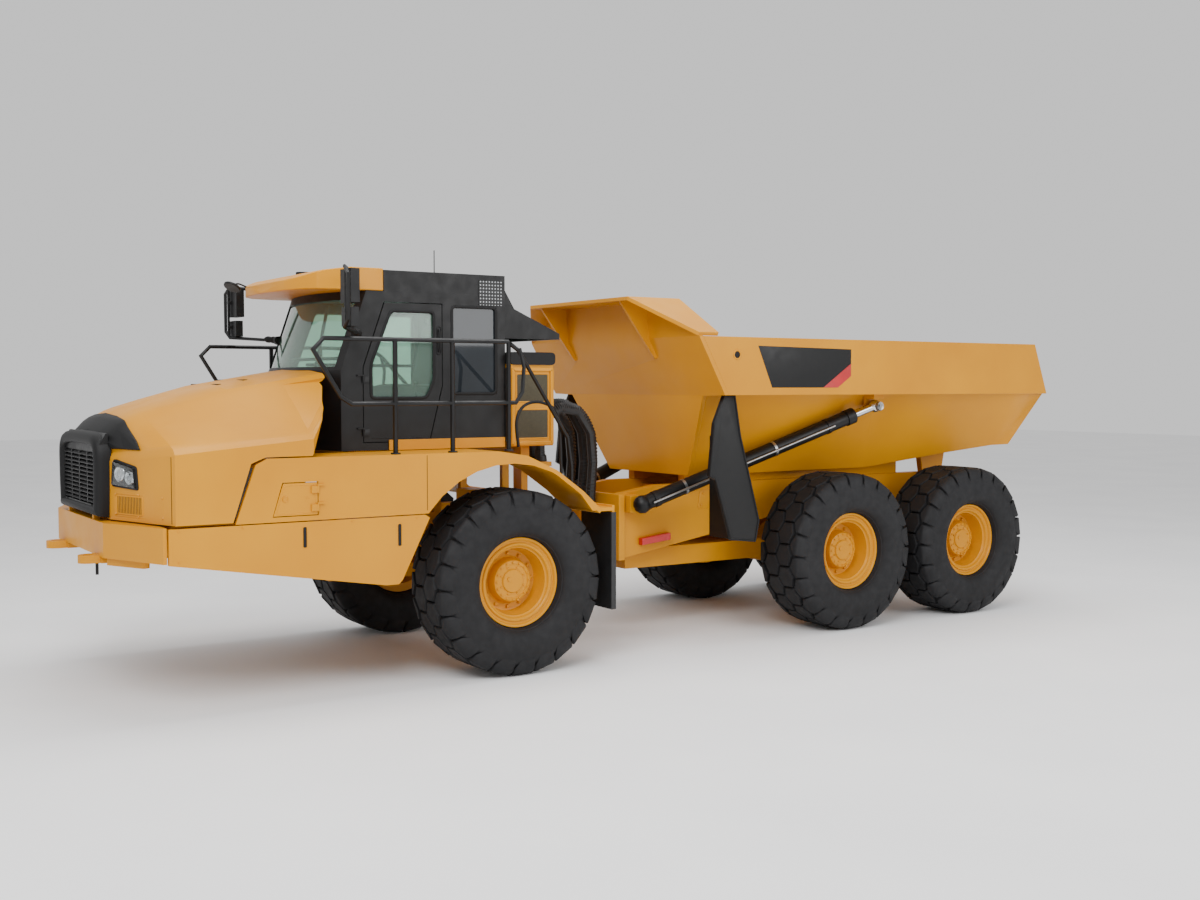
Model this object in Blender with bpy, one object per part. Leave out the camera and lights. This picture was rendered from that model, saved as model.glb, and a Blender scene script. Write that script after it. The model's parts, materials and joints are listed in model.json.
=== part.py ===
"""Articulated dump truck, six wheels, built at full size in metres.

Axes: +Z up, -Y forward (the nose), +X to the truck's left. The origin is on the
ground in the middle of the overall length. Stations along the truck are given
from the front axle, rearwards positive, and along() turns them into Y.
"""

import math

import bmesh
import bpy
from mathutils import Vector

# ---- driving dimensions -------------------------------------------------------
NOSE_REACH = 3.86          # front axle to the tips of the tow eyes
TAIL_REACH = 7.70          # front axle to the end of the bed
WHEELBASE = 4.40           # front axle to centre axle
BOGIE = 2.01               # centre axle to rear axle
TRACK = 2.68
TYRE_RADIUS = 0.90
TYRE_WIDTH = 0.74
RIM_RADIUS = 0.436
RIM_WIDTH = 0.47
WHEEL_SIDES = 20
HALF_WIDTH = 1.70          # outside of the bed and of the mirrors
PLATE = 0.04               # usual plate and panel thickness
GAP = 0.0004               # between pieces that rest on each other
RUNNING = 0.0006           # between faces that slide on each other
CLEAR = 0.008              # round a door, lid or hood

HITCH_STATION = 1.40       # upright steering pivot
HITCH_HEIGHT = 1.15        # oscillation tube axis
HITCH_TUBE = 0.19
FRAME_FRONT = 1.83         # front plate of the rear frame

HINGE_STATION = 6.75       # bed hinge
HINGE_HEIGHT = 1.50
HOIST_RADIUS = 0.085
HOIST_FOOT = (0.80, 2.02, 1.50)     # x, station, height
HOIST_HEAD = (1.40, 4.95, 2.56)
HOIST_CLOSED_BARREL = 2.86
HOIST_BALL = 0.10
HOIST_EYE = 0.075

STEER_RADIUS = 0.06
STEER_FOOT = (0.58, 0.45, 1.14)
STEER_HEAD = (0.30, HITCH_STATION + 0.22, 1.14)

FRAME_INNER = 0.36         # chassis beams, distance from the middle
FRAME_OUTER = 0.50
FRONT_FRAME_LOW = 1.24
FRONT_FRAME_TOP = 1.52
REAR_FRAME_LOW = 1.28
REAR_FRAME_TOP = 1.68

SIDE = 1.65                # outside of the hood and side panels
SKIRT_TOP = 1.62
HOOD_LOW = 1.645
DECK_TOP = 2.18
ARCH_RADIUS = 1.11
HOOD_FRONT = -3.60

CAB_HALF = 0.97
CAB_FLOOR = 2.19
CAB_WALL = 0.05
CAB_EAVES = 3.70
CAB_FRONT = -1.56
CAB_REAR = 0.20
CAB_BULGE = 0.20           # how far the windscreen bows forward
CAB_LEAN = 0.26            # how far the windscreen's top lies behind its foot
SILL = 2.72                # lower edge of the side glass
GLASS = 0.012
DOOR = (-1.34, -0.50)      # stations of the door's edges
DOOR_FOOT = 2.26
DOOR_HEAD = 3.60

BED_FLOOR_LOW = 1.79
BED_FLOOR_HALF = 0.78
BED_BAND_LOW = 2.70
BED_BAND_TOP = 3.32
BED_WALL_TOP_HALF = 1.32   # where the sloped wall meets the side band
BED_PLATE = 0.05

FRONT_AXLE_Y = (NOSE_REACH - TAIL_REACH) / 2
WHEEL_X = TRACK / 2


def along(station):
    """Y of a station measured from the front axle."""
    return FRONT_AXLE_Y + station


for leftover in list(bpy.data.objects):
    bpy.data.objects.remove(leftover)

# ---- materials ----------------------------------------------------------------
COLOURS = {
    "yellow": ((0.62, 0.36, 0.06), 0.35, 0.0),
    "black_paint": ((0.012, 0.012, 0.013), 0.5, 0.0),
    "black_steel": ((0.02, 0.02, 0.02), 0.4, 0.3),
    "tyre": ((0.015, 0.015, 0.016), 0.85, 0.0),
    "rubber": ((0.01, 0.01, 0.01), 0.8, 0.0),
    "glass": ((0.35, 0.6, 0.5), 0.05, 0.0),
    "lamp": ((0.8, 0.8, 0.78), 0.1, 0.0),
    "chrome": ((0.75, 0.75, 0.75), 0.12, 1.0),
    "red": ((0.6, 0.02, 0.02), 0.4, 0.0),
    "seat": ((0.03, 0.03, 0.035), 0.8, 0.0),
    "engine": ((0.25, 0.25, 0.24), 0.6, 0.2),
}
MATERIALS = {}


def material(slot):
    if slot not in MATERIALS:
        colour, roughness, metallic = COLOURS[slot]
        made = bpy.data.materials.new(slot)
        made.use_nodes = True
        shader = made.node_tree.nodes["Principled BSDF"]
        shader.inputs["Base Color"].default_value = (*colour, 1.0)
        shader.inputs["Roughness"].default_value = roughness
        shader.inputs["Metallic"].default_value = metallic
        MATERIALS[slot] = made
    return MATERIALS[slot]


# ---- shape helpers ------------------------------------------------------------
def finish_mesh(name, bm):
    """A mesh object from bm, with its faces turned outwards."""
    bmesh.ops.recalc_face_normals(bm, faces=bm.faces)
    if bm.calc_volume(signed=True) < 0:
        bmesh.ops.reverse_faces(bm, faces=bm.faces)
    mesh = bpy.data.meshes.new(name)
    bm.to_mesh(mesh)
    bm.free()
    made = bpy.data.objects.new(name, mesh)
    bpy.context.scene.collection.objects.link(made)
    return made


def place(axis, a, b, depth):
    """The point whose in-plane coordinates are a, b and whose depth is along axis."""
    return {"X": (depth, a, b), "Y": (a, depth, b), "Z": (a, b, depth)}[axis]


def prism(axis, outline, low, high):
    """An outline in the plane across axis, extruded from low to high."""
    bm = bmesh.new()
    face = bm.faces.new([bm.verts.new(place(axis, a, b, low)) for a, b in outline])
    made = bmesh.ops.extrude_face_region(bm, geom=[face])
    shift = Vector(place(axis, 0, 0, high - low))
    bmesh.ops.translate(bm, verts=[v for v in made["geom"] if isinstance(v, bmesh.types.BMVert)], vec=shift)
    return finish_mesh("shape", bm)


def block(x, y, z):
    """A box from three (low, high) pairs."""
    return prism("Z", [(x[0], y[0]), (x[1], y[0]), (x[1], y[1]), (x[0], y[1])], z[0], z[1])


def disc(axis, centre, radius, low, high, sides=20):
    """A round bar along axis; centre is the two coordinates across it."""
    step = 2 * math.pi / sides
    ring = [(centre[0] + radius * math.cos((i + 0.5) * step), centre[1] + radius * math.sin((i + 0.5) * step))
            for i in range(sides)]
    return prism(axis, ring, low, high)


def turned(profile, centre, sides, flat_foot=False):
    """A closed profile of (x, radius) turned about a line along X through centre (y, z)."""
    bm = bmesh.new()
    step = 2 * math.pi / sides
    grow = 1 / math.cos(step / 2) if flat_foot else 1.0
    rings = []
    for i in range(sides):
        angle = (i + 0.5) * step - math.pi / 2
        rings.append([bm.verts.new((x, centre[0] + r * grow * math.cos(angle),
                                    centre[1] + r * grow * math.sin(angle)))
                      for x, r in profile])
    count = len(profile)
    for i in range(sides):
        here, there = rings[i], rings[(i + 1) % sides]
        for j in range(count):
            k = (j + 1) % count
            bm.faces.new((here[j], here[k], there[k], there[j]))
    return finish_mesh("turned", bm)


def tube(points, radius, sides=6):
    """A round bar along a route of points, mitred at each bend and closed at both ends."""
    route = [Vector(p) for p in points]
    bm = bmesh.new()
    rings = []
    guide = None
    for i, here in enumerate(route):
        before = (here - route[i - 1]).normalized() if i else None
        after = (route[i + 1] - here).normalized() if i + 1 < len(route) else None
        tangent = ((before or after) + (after or before)).normalized()
        run = before or after
        if guide is None:
            guide = run.orthogonal().normalized()
        guide = (guide - run * guide.dot(run)).normalized()
        other = run.cross(guide)
        ring = []
        for j in range(sides):
            angle = 2 * math.pi * (j + 0.5) / sides
            offset = (guide * math.cos(angle) + other * math.sin(angle)) * radius
            # slide along the run until the point lies on the mitre plane
            offset -= run * (offset.dot(tangent) / max(run.dot(tangent), 0.2))
            ring.append(bm.verts.new(here + offset))
        rings.append(ring)
    for here, there in zip(rings, rings[1:]):
        for j in range(sides):
            k = (j + 1) % sides
            bm.faces.new((here[j], here[k], there[k], there[j]))
    bm.faces.new(rings[0])
    bm.faces.new(rings[-1])
    return finish_mesh("tube", bm)


def bar(start, end, radius, sides=16):
    """A straight round bar between two points."""
    return tube([start, end], radius, sides)


def loft(sections, caps=None):
    """A closed body through sections, each a loop of as many points; caps splits its ends into flat faces."""
    bm = bmesh.new()
    rings = [[bm.verts.new(p) for p in section] for section in sections]
    for here, there in zip(rings, rings[1:]):
        for j in range(len(here)):
            k = (j + 1) % len(here)
            bm.faces.new((here[j], here[k], there[k], there[j]))
    for corners in caps or [range(len(rings[0]))]:
        bm.faces.new([rings[0][i] for i in corners])
        bm.faces.new([rings[-1][i] for i in corners])
    return finish_mesh("loft", bm)


def side_prism(outline, x):
    """An outline of (station, height) points, extruded between the two values of x."""
    return prism("X", [(along(s), z) for s, z in outline], x[0], x[1])


def rows(x, stations, heights):
    """A box between two values of x, of station and of height."""
    return block(x, (along(stations[0]), along(stations[1])), heights)


def at(x, station, height):
    return (x, along(station), height)


def ribbon(line, thickness):
    """The outline of a strip that follows a line, with its thickness to the line's right."""
    points = [Vector(p) for p in line]
    inner = []
    for i, here in enumerate(points):
        before = (here - points[i - 1]).normalized() if i else None
        after = (points[i + 1] - here).normalized() if i + 1 < len(points) else None
        normals = [Vector((d.y, -d.x)) for d in (before, after) if d is not None]
        mean = sum(normals, Vector((0, 0))).normalized()
        inner.append(here + mean * (thickness / max(mean.dot(normals[0]), 0.3)))
    return [tuple(p) for p in points + inner[::-1]]


def carve(target, operation, others):
    """Joins, cuts or trims target with each of the others, which become hidden helpers."""
    for other in others:
        other.hide_render = True
        other.display_type = "WIRE"
        change = target.modifiers.new(operation.title(), "BOOLEAN")
        change.operation = operation
        change.object = other
    return target


def node(name, slot, parts, cuts=(), keep=None, added=(), bores=()):
    """One named solid: parts joined, cuts taken away, trimmed to keep; then what is added, and its bores."""
    made = parts[0]
    made.name = name
    made.data.name = name
    carve(made, "UNION", parts[1:])
    carve(made, "DIFFERENCE", cuts)
    carve(made, "INTERSECT", [keep] if keep else [])
    carve(made, "UNION", added)
    carve(made, "DIFFERENCE", bores)
    made.data.materials.append(material(slot))


def arc(centre, radius, start, end, steps):
    """Points on an arc, angles in degrees."""
    angles = [math.radians(start + (end - start) * i / steps) for i in range(steps + 1)]
    return [(centre[0] + radius * math.cos(a), centre[1] + radius * math.sin(a)) for a in angles]


def span(side, inner, outer):
    """(low, high) in X between two distances from the middle, on one side."""
    return tuple(sorted((side * inner, side * outer)))


def between(value, table):
    """Straight-line interpolation in a table of (value, result) pairs."""
    for (a, low), (b, high) in zip(table, table[1:]):
        if value <= b:
            return low + (high - low) * max(value - a, 0.0) / (b - a)
    return table[-1][1]


SIDES = (("left", 1), ("right", -1))


def bore_for(radius, sides):
    """Radius of a faceted hole in which a shaft of a radius turns freely."""
    return radius / math.cos(math.pi / sides) + RUNNING


KNUCKLE = 0.0115           # outer radius of a door or hatch hinge
KNUCKLE_PIN = 0.006
KNUCKLE_HALF = 0.03


def upright_hinge(face, station, heights, leaf):
    """Hinges on an outer face, as (knuckles, bores, pins and arms); leaf is 1 where it runs rearwards."""
    centre = (face + KNUCKLE + 0.001, along(station))
    across = (face - 0.002, centre[0] + 0.006)
    clear_across = (face + 0.002, centre[0] + 0.006)
    knuckles, bores, carriers = [], [], []
    for z in heights:
        low, high = z - KNUCKLE_HALF, z + KNUCKLE_HALF
        strap = sorted((station + leaf * 0.001, station + leaf * 0.06))
        arm = sorted((station + leaf * 0.003, station - leaf * 0.06))
        knuckles += [disc("Z", centre, KNUCKLE, low, high, 10), rows(across, strap, (low, high))]
        bores.append(disc("Z", centre, bore_for(KNUCKLE_PIN, 10), low - 0.01, high + 0.01, 10))
        foot = sorted((station - leaf * 0.012, station - leaf * 0.06))
        carriers += [rows(clear_across, arm, (high + 0.001, high + 0.015)),
                     rows(across, foot, (high + 0.001, high + 0.015)),
                     disc("Z", centre, KNUCKLE_PIN, low, high + 0.015, 10)]
    return knuckles, bores, carriers


# ---- wheels and axles -----------------------------------------------------------
RIM_FACE = WHEEL_X + RIM_WIDTH / 2      # plane of the rim's outer flange
RIM_BACK = WHEEL_X - RIM_WIDTH / 2
FLANGE = 0.035
BEAD = RIM_RADIUS - 0.066               # radius that the tyre sits on
HUB_FACE = 1.46
DISC_BACK = 1.30                        # inside face of the wheel disc
HUB_RADIUS = 0.19


def wheel(label, side, station):
    """Tyre and rim of one wheel, turned about the axle line."""
    centre = (along(station), TYRE_RADIUS)
    inner, outer = WHEEL_X - TYRE_WIDTH / 2, WHEEL_X + TYRE_WIDTH / 2
    seat_in, seat_out = RIM_BACK + FLANGE + GAP, RIM_FACE - FLANGE - GAP
    bulge = RIM_RADIUS + 0.19
    shoulder = TYRE_RADIUS - 0.10
    tyre = [(seat_in, BEAD + 0.006), (seat_in, RIM_RADIUS + 0.01), (inner, bulge), (inner + 0.03, shoulder),
            (inner + 0.09, TYRE_RADIUS), (outer - 0.09, TYRE_RADIUS), (outer - 0.03, shoulder), (outer, bulge),
            (seat_out, RIM_RADIUS + 0.01), (seat_out, BEAD + 0.006)]
    node(f"tyre_{label}", "tyre",
         [turned([(side * x, r) for x, r in tyre], centre, WHEEL_SIDES, flat_foot=True)])
    rim = [(RIM_BACK, RIM_RADIUS), (RIM_BACK + FLANGE, RIM_RADIUS), (RIM_BACK + FLANGE, BEAD),
           (RIM_FACE - FLANGE, BEAD), (RIM_FACE - FLANGE, RIM_RADIUS), (RIM_FACE, RIM_RADIUS),
           (RIM_FACE, RIM_RADIUS - 0.03), (RIM_FACE - 0.05, 0.345), (DISC_BACK + 0.06, 0.32),
           (DISC_BACK + 0.04, HUB_RADIUS), (HUB_FACE, HUB_RADIUS - 0.02), (HUB_FACE, 0.02), (DISC_BACK, 0.02),
           (DISC_BACK, 0.32), (RIM_BACK, 0.335)]
    node(f"rim_{label}", "yellow", [turned([(side * x, r) for x, r in rim], centre, WHEEL_SIDES)])


for spot, station in (("front", 0.0), ("centre", WHEELBASE), ("rear", WHEELBASE + BOGIE)):
    for hand, side in SIDES:
        wheel(f"{spot}_{hand}", side, station)

AXLE_RADIUS = 0.15
SPINDLE_END = DISC_BACK - RUNNING
AXLE_LINE = [(SPINDLE_END, 0.012), (SPINDLE_END, 0.17), (1.02, 0.20), (0.98, 0.20), (0.94, 0.16),
             (0.80, AXLE_RADIUS), (0.34, AXLE_RADIUS), (0.24, 0.27)]


def axle(name, station, extra):
    """Axle housing with its differential bowl and the fixed hubs that carry the wheels."""
    profile = AXLE_LINE + [(-x, r) for x, r in reversed(AXLE_LINE)]
    housing = turned(profile, (along(station), TYRE_RADIUS), 16, flat_foot=True)
    node(name, "yellow", [housing, *extra])


def drawbar(tip, tip_half, base, base_half, heights):
    """Tapered arm that holds an axle fore and aft, seen from above."""
    outline = [(-tip_half, along(tip)), (tip_half, along(tip)), (base_half, along(base)),
               (-base_half, along(base))]
    return prism("Z", outline, *heights)


STRUT_X = 0.66
STRUT_TOP = 1.66
struts = [disc("Z", (side * STRUT_X, along(0)), 0.075, TYRE_RADIUS, STRUT_TOP, 12) for _, side in SIDES]
axle("front_axle", 0.0, [*struts, drawbar(-1.35, 0.10, 0.0, 0.30, (0.84, 0.98))])

# walking beams lie on the axle housings
BOGIE_MIDDLE = WHEELBASE + BOGIE / 2
axle("centre_axle", WHEELBASE, [drawbar(2.05, 0.42, WHEELBASE, 0.46, (0.74, 0.96))])
axle("rear_axle", WHEELBASE + BOGIE, [])

WALK_IN, WALK_OUT = 0.56, 0.70
WALK_PIN_Z = 1.12
walking = []
for _, side in SIDES:
    arm = [(WHEELBASE - 0.16, TYRE_RADIUS + AXLE_RADIUS + GAP),
           (WHEELBASE + 0.2, TYRE_RADIUS + AXLE_RADIUS + GAP),
           (BOGIE_MIDDLE - 0.3, 0.86), (BOGIE_MIDDLE + 0.3, 0.86),
           (WHEELBASE + BOGIE - 0.2, TYRE_RADIUS + AXLE_RADIUS + GAP),
           (WHEELBASE + BOGIE + 0.16, TYRE_RADIUS + AXLE_RADIUS + GAP), (WHEELBASE + BOGIE + 0.16, 1.16),
           (BOGIE_MIDDLE + 0.4, 1.25), (BOGIE_MIDDLE - 0.4, 1.25), (WHEELBASE - 0.16, 1.16)]
    walking.append(side_prism(arm, span(side, WALK_IN, WALK_OUT)))
trunnion = disc("X", (along(BOGIE_MIDDLE), WALK_PIN_Z), 0.07, -WALK_IN - 0.02, WALK_IN + 0.02, 12)
node("walking_beams", "yellow", [walking[0], walking[1], trunnion])


# ---- front half: frame, engine, bumper -----------------------------------------
beams = [rows(span(side, FRAME_INNER, FRAME_OUTER), (-3.30, 1.02), (FRONT_FRAME_LOW, FRONT_FRAME_TOP))
         for _, side in SIDES]
cross = [rows((-FRAME_INNER - 0.02, FRAME_INNER + 0.02), (s, s + 0.14),
              (FRONT_FRAME_LOW + 0.02, FRONT_FRAME_TOP - 0.02))
         for s in (-3.28, -1.37, 0.36)]
PIVOT_TOP = (1.42, FRONT_FRAME_TOP)
PIVOT_FOOT = (0.76, 0.87)
tower = rows((-0.30, 0.30), (0.82, 1.06), (PIVOT_FOOT[0], FRONT_FRAME_TOP))
tower_top = rows((-0.48, 0.48), (0.82, 1.06), (FRONT_FRAME_LOW + 0.01, FRONT_FRAME_TOP - 0.001))
ears = []
for low, high in (PIVOT_TOP, PIVOT_FOOT):
    plan = [(0.20, along(1.0))] + arc((0, along(HITCH_STATION)), 0.18, 0, 180, 6) + [(-0.20, along(1.0))]
    ears.append(prism("Z", plan, low, high - 0.0005))
pivot_bore = disc("Z", (0, along(HITCH_STATION)), 0.085, 0.5, 1.8, 16)
strut_heads = [rows(span(side, FRAME_OUTER - 0.03, STRUT_X + 0.09), (-0.10, 0.10),
                    (STRUT_TOP + GAP, STRUT_TOP + 0.09))
               for _, side in SIDES]
strut_posts = [rows(span(side, FRAME_OUTER - 0.03, FRAME_OUTER + 0.05), (-0.10, 0.10),
                    (FRONT_FRAME_TOP - 0.1, STRUT_TOP + 0.06))
               for _, side in SIDES]
steer_lugs = [rows(span(side, FRAME_OUTER - 0.02, STEER_FOOT[0] + 0.07),
                   (STEER_FOOT[1] - 0.07, STEER_FOOT[1] + 0.07),
                   (STEER_FOOT[2] + STEER_RADIUS + RUNNING,
                    STEER_FOOT[2] + STEER_RADIUS + 0.06)) for _, side in SIDES]
drawbar_hanger = rows((-0.14, 0.14), (-1.36, -1.24), (0.98 + GAP, FRONT_FRAME_LOW + 0.05))
carriers = [rows(span(side, FRAME_OUTER - 0.02, SIDE - PLATE - GAP), (s, s + 0.08), (1.40, 1.50))
            for _, side in SIDES for s in (-3.10, -1.55)]
DECK_RAILS = (-1.50, -0.38)
COOLER_RAIL = 0.42
posts = [rows(span(side, FRAME_OUTER - 0.06, FRAME_OUTER - 0.001), (s + 0.01, s + 0.09),
              (FRONT_FRAME_TOP - 0.05, DECK_TOP - 0.10))
         for _, side in SIDES for s in (*DECK_RAILS, COOLER_RAIL)]
deck_rails = [rows((-1.50, 1.50), (s, s + 0.10), (DECK_TOP - 0.14, DECK_TOP - PLATE - GAP))
              for s in DECK_RAILS]
cab_mounts = [rows((-0.80, 0.80), (s + 0.02, s + 0.08), (DECK_TOP - 0.06, CAB_FLOOR - GAP))
              for s in DECK_RAILS]
cooler_rail = rows((-0.90, 0.90), (COOLER_RAIL, COOLER_RAIL + 0.10), (DECK_TOP - 0.12, CAB_FLOOR - GAP))
HOSE_END = (HITCH_STATION - 0.38, 1.98)
hose_bulkhead = [rows((-0.26, 0.38), (HOSE_END[0] - 0.09, HOSE_END[0] + 0.09),
                      (HOSE_END[1] - 0.05, HOSE_END[1] - GAP)),
                 rows((-0.09, 0.09), (0.90, 0.98), (FRONT_FRAME_TOP - 0.02, HOSE_END[1] - 0.04))]
node("front_frame", "yellow",
     [beams[0], beams[1], *cross, tower_top, tower, *ears, *strut_posts, *strut_heads, *steer_lugs,
      drawbar_hanger,
      *carriers, *posts, *deck_rails, *cab_mounts, cooler_rail, *hose_bulkhead], cuts=[pivot_bore])

node("engine", "engine",
     [rows((-0.33, 0.33), (-3.10, -1.80), (FRONT_FRAME_LOW, 2.20)),
      rows((-0.42, 0.42), (-2.90, -2.00), (FRONT_FRAME_TOP + GAP, 2.05))])

BUMPER_TOP, BUMPER_LOW = 1.63, 1.33
BUMPER_FRONT = -3.70
bumper_plan = [(-SIDE + 0.02, along(-3.37)), (-SIDE + 0.02, along(-3.40)), (-0.88, along(BUMPER_FRONT)),
               (0.88, along(BUMPER_FRONT)), (SIDE - 0.02, along(-3.40)), (SIDE - 0.02, along(-3.37))]
bumper_hollow = [(-SIDE + 0.10, along(-3.30)), (-SIDE + 0.10, along(-3.37)),
                 (-0.84, along(BUMPER_FRONT) + 0.06),
                 (0.84, along(BUMPER_FRONT) + 0.06), (SIDE - 0.10, along(-3.37)), (SIDE - 0.10, along(-3.30))]
tow_plates, tow_holes = [], []
for _, side in SIDES:
    plan = [(side * 0.56, along(-3.64)), (side * 0.56, along(-NOSE_REACH + 0.09))]
    plan += [(side * 0.65 - side * 0.09 * math.cos(math.radians(a)),
              along(-NOSE_REACH + 0.09) - 0.09 * math.sin(math.radians(a)))
             for a in (30, 60, 90, 120, 150)]
    plan += [(side * 0.74, along(-NOSE_REACH + 0.09)), (side * 0.74, along(-3.64))]
    tow_plates.append(prism("Z", plan, BUMPER_LOW - 0.06, BUMPER_LOW + 0.01))
    tow_holes.append(disc("Z", (side * 0.65, along(-NOSE_REACH + 0.09)), 0.045, 1.0, 1.6, 12))
tow_roots = [rows(span(side, 0.53, 0.77), (-3.69, -3.32), (BUMPER_LOW - 0.06, BUMPER_LOW + 0.01))
             for _, side in SIDES]
bumper_stays = [rows(span(side, FRAME_INNER, FRAME_OUTER), (-3.66, -3.30 - GAP), (1.38, 1.50))
                for _, side in SIDES]
HOOD_PIVOT = (-3.66, 1.69)
LUG = (0.455, 0.495)
lug_line = [(HOOD_PIVOT[0] - 0.028, BUMPER_TOP - 0.01), (HOOD_PIVOT[0] + 0.028, BUMPER_TOP - 0.01)]
lug_line += arc(HOOD_PIVOT, 0.028, 0, 180, 6)
hood_lugs = [side_prism(lug_line, span(side, *LUG)) for _, side in SIDES]
hood_pins = [disc("X", (along(HOOD_PIVOT[0]), HOOD_PIVOT[1]), 0.012,
                  *span(side, LUG[0] - 0.02, LUG[1] + 0.02), 12)
             for _, side in SIDES]
node("front_bumper", "yellow",
     [prism("Z", bumper_plan, BUMPER_LOW, BUMPER_TOP), *tow_roots, *tow_plates],
     cuts=[prism("Z", bumper_hollow, BUMPER_LOW + 0.05, BUMPER_TOP - 0.05), *tow_holes],
     added=[*bumper_stays, *hood_lugs, *hood_pins])


# ---- side panels and fenders ------------------------------------------------------
ARCH_CENTRE = (-0.12, TYRE_RADIUS + 0.05)
FENDER_FRONT = [(-2.80, SKIRT_TOP + 0.01), (-2.62, DECK_TOP - 0.05), (-2.52, DECK_TOP)]
FENDER_TAIL = [(-0.25, DECK_TOP), (0.06, 2.13), (0.39, 1.98), (0.70, 1.76), (0.92, 1.56)]


def arch_angle(height):
    """Angle in degrees above the axle, from the rear, at which the arch is at a height."""
    return math.degrees(math.asin((height - ARCH_CENTRE[1]) / ARCH_RADIUS))


HATCH = [(-2.47, 1.68), (-2.07, 1.68), (-2.07, 1.96), (-2.38, 1.96)]


def grown(outline, amount):
    """An outline moved outwards all round, about its middle, for a clearance."""
    cx = sum(p[0] for p in outline) / len(outline)
    cz = sum(p[1] for p in outline) / len(outline)
    return [(s + (amount if s > cx else -amount), z + (amount if z > cz else -amount)) for s, z in outline]


hatch_knuckles, hatch_bores, hatch_pins = upright_hinge(SIDE, HATCH[1][0], (1.74, 1.90), -1)
for hand, side in SIDES:
    skirt = [(-3.36, SKIRT_TOP), (-3.36, 1.32), (-1.42, 1.00), (-1.30, 1.00)]
    skirt += [(-1.26, 1.04), (-0.985, 1.59), (-1.03, SKIRT_TOP)]
    panel = side_prism(skirt, span(side, SIDE - PLATE, SIDE))
    flange = rows(span(side, SIDE - 0.16, SIDE - 0.01), (-3.30, -1.10), (SKIRT_TOP - 0.03, SKIRT_TOP - 0.001))
    node(f"{hand}_skirt", "yellow", [panel, flange])

    rear_foot = FENDER_TAIL[-1]
    inner_arc = arc(ARCH_CENTRE, ARCH_RADIUS, arch_angle(rear_foot[1]), 180 - arch_angle(SKIRT_TOP + 0.01), 10)
    face = FENDER_FRONT + FENDER_TAIL + inner_arc
    cheek = side_prism(face, span(side, SIDE - PLATE, SIDE))
    top = side_prism(ribbon(FENDER_FRONT[1:] + FENDER_TAIL, PLATE), span(side, CAB_HALF + 0.02, SIDE - 0.001))
    flap = rows(span(side, 1.08, SIDE - 0.03), (1.06, 1.09), (0.55, 1.60))
    flap_hanger = rows(span(side, 1.08, SIDE - 0.03), (0.86, 1.075), (1.545, 1.58))
    hatchway = [side_prism(grown(HATCH, CLEAR), (SIDE - 0.2, SIDE + 0.1))] if side > 0 else []
    node(f"{hand}_fender", "yellow", [cheek, top, flap_hanger, flap], cuts=hatchway,
         added=hatch_pins if side > 0 else [])

node("side_hatch", "yellow", [side_prism(HATCH, (SIDE - PLATE, SIDE)), *hatch_knuckles], bores=hatch_bores)


# ---- the cab's outline, which the hood stops short of ------------------------------
LEAN_FROM = 2.95


def cab_plan(height, inset):
    """The cab's outline at a height, with its bowed front, drawn in by an inset."""
    lean = CAB_LEAN * max(height - LEAN_FROM, 0.0) / (CAB_EAVES - LEAN_FROM)
    half = CAB_HALF - inset
    front = CAB_FRONT + lean + inset
    rear = CAB_REAR - inset
    steps = 8
    bow = [(half - 2 * half * i / steps, front - CAB_BULGE * (1 - (1 - 2 * i / steps) ** 2))
           for i in range(steps + 1)]
    return [at(x, s, height) for x, s in [(half, rear)] + bow + [(-half, rear)]]


# ---- hood, grille and lamps -------------------------------------------------------
RIDGE = [(-3.60, 2.40), (-3.50, 2.50), (-3.35, 2.60), (-3.05, 2.69), (-2.58, 2.82), (-1.64, 2.98)]
CREST_HALF = [(-3.60, 0.66), (-3.35, 0.76), (-2.10, 0.92), (-1.64, 0.96)]
SHOULDER_Z = [(-3.60, 2.20), (-3.30, 2.29), (-2.10, 2.40), (-1.64, 2.84)]
SHOULDER_X = [(-2.10, 1.60), (-1.64, 1.03)]
REACH = [(-3.60, 0.74), (-3.50, 1.04), (-3.40, 1.36), (-3.30, SIDE), (-2.10, SIDE), (-1.64, 1.05)]


HOOD_FOOT = 1.40           # the hood's sides run down to here before they are trimmed


def hood_section(station, inset):
    """One loop across the hood: crowned top, sloping shoulder and upright side, drawn in by an inset."""
    ridge = between(station, RIDGE) - inset
    crest = between(station, CREST_HALF)
    shoulder = between(station, SHOULDER_Z) - inset
    reach = between(station, REACH) - inset
    edge = min(between(station, SHOULDER_X), reach - 0.03)
    half = [(0.0, ridge), (crest * 0.55, ridge - 0.02), (crest * 0.9, ridge - 0.05), (crest, ridge - 0.09),
            (edge - 0.08, shoulder + 0.015), (edge, shoulder - 0.015), (reach, shoulder - 0.06),
            (reach, HOOD_FOOT)]
    half = [(min(x, reach), z) for x, z in half]
    left = [at(x, station, z) for x, z in half[1:]]
    right = [at(-x, station, z) for x, z in reversed(half[1:])]
    return [at(0.0, station, half[0][1])] + left + right


HOOD_STATIONS = [-3.60, -3.50, -3.40, -3.30, -3.05, -2.58, -2.10, -1.64]
hood_outer = loft([hood_section(s, 0.0) for s in HOOD_STATIONS])
hood_inner = loft([hood_section(s, 0.035) for s in [-3.56, -3.50, -3.40, -3.30, -3.05, -2.58, -2.10, -1.64,
                                                    -1.50]])
below = [(-4.00, 1.20), (-4.00, HOOD_LOW), (-2.80 - 0.02, HOOD_LOW), (-2.64 - 0.02, DECK_TOP - 0.04),
         (-2.53, DECK_TOP + 0.012), (-1.00, DECK_TOP + 0.012), (-1.00, 1.20)]
behind = [(-2.12, DECK_TOP), (-1.70, 2.90), (-1.70, 3.20), (-1.2, 3.20), (-1.2, DECK_TOP)]
cab_room = loft([cab_plan(z, -0.012) for z in (2.00, LEAN_FROM, CAB_EAVES)])
NOSE_HALF = 0.70
GRILLE_BACK = HOOD_FRONT - GAP
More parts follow.
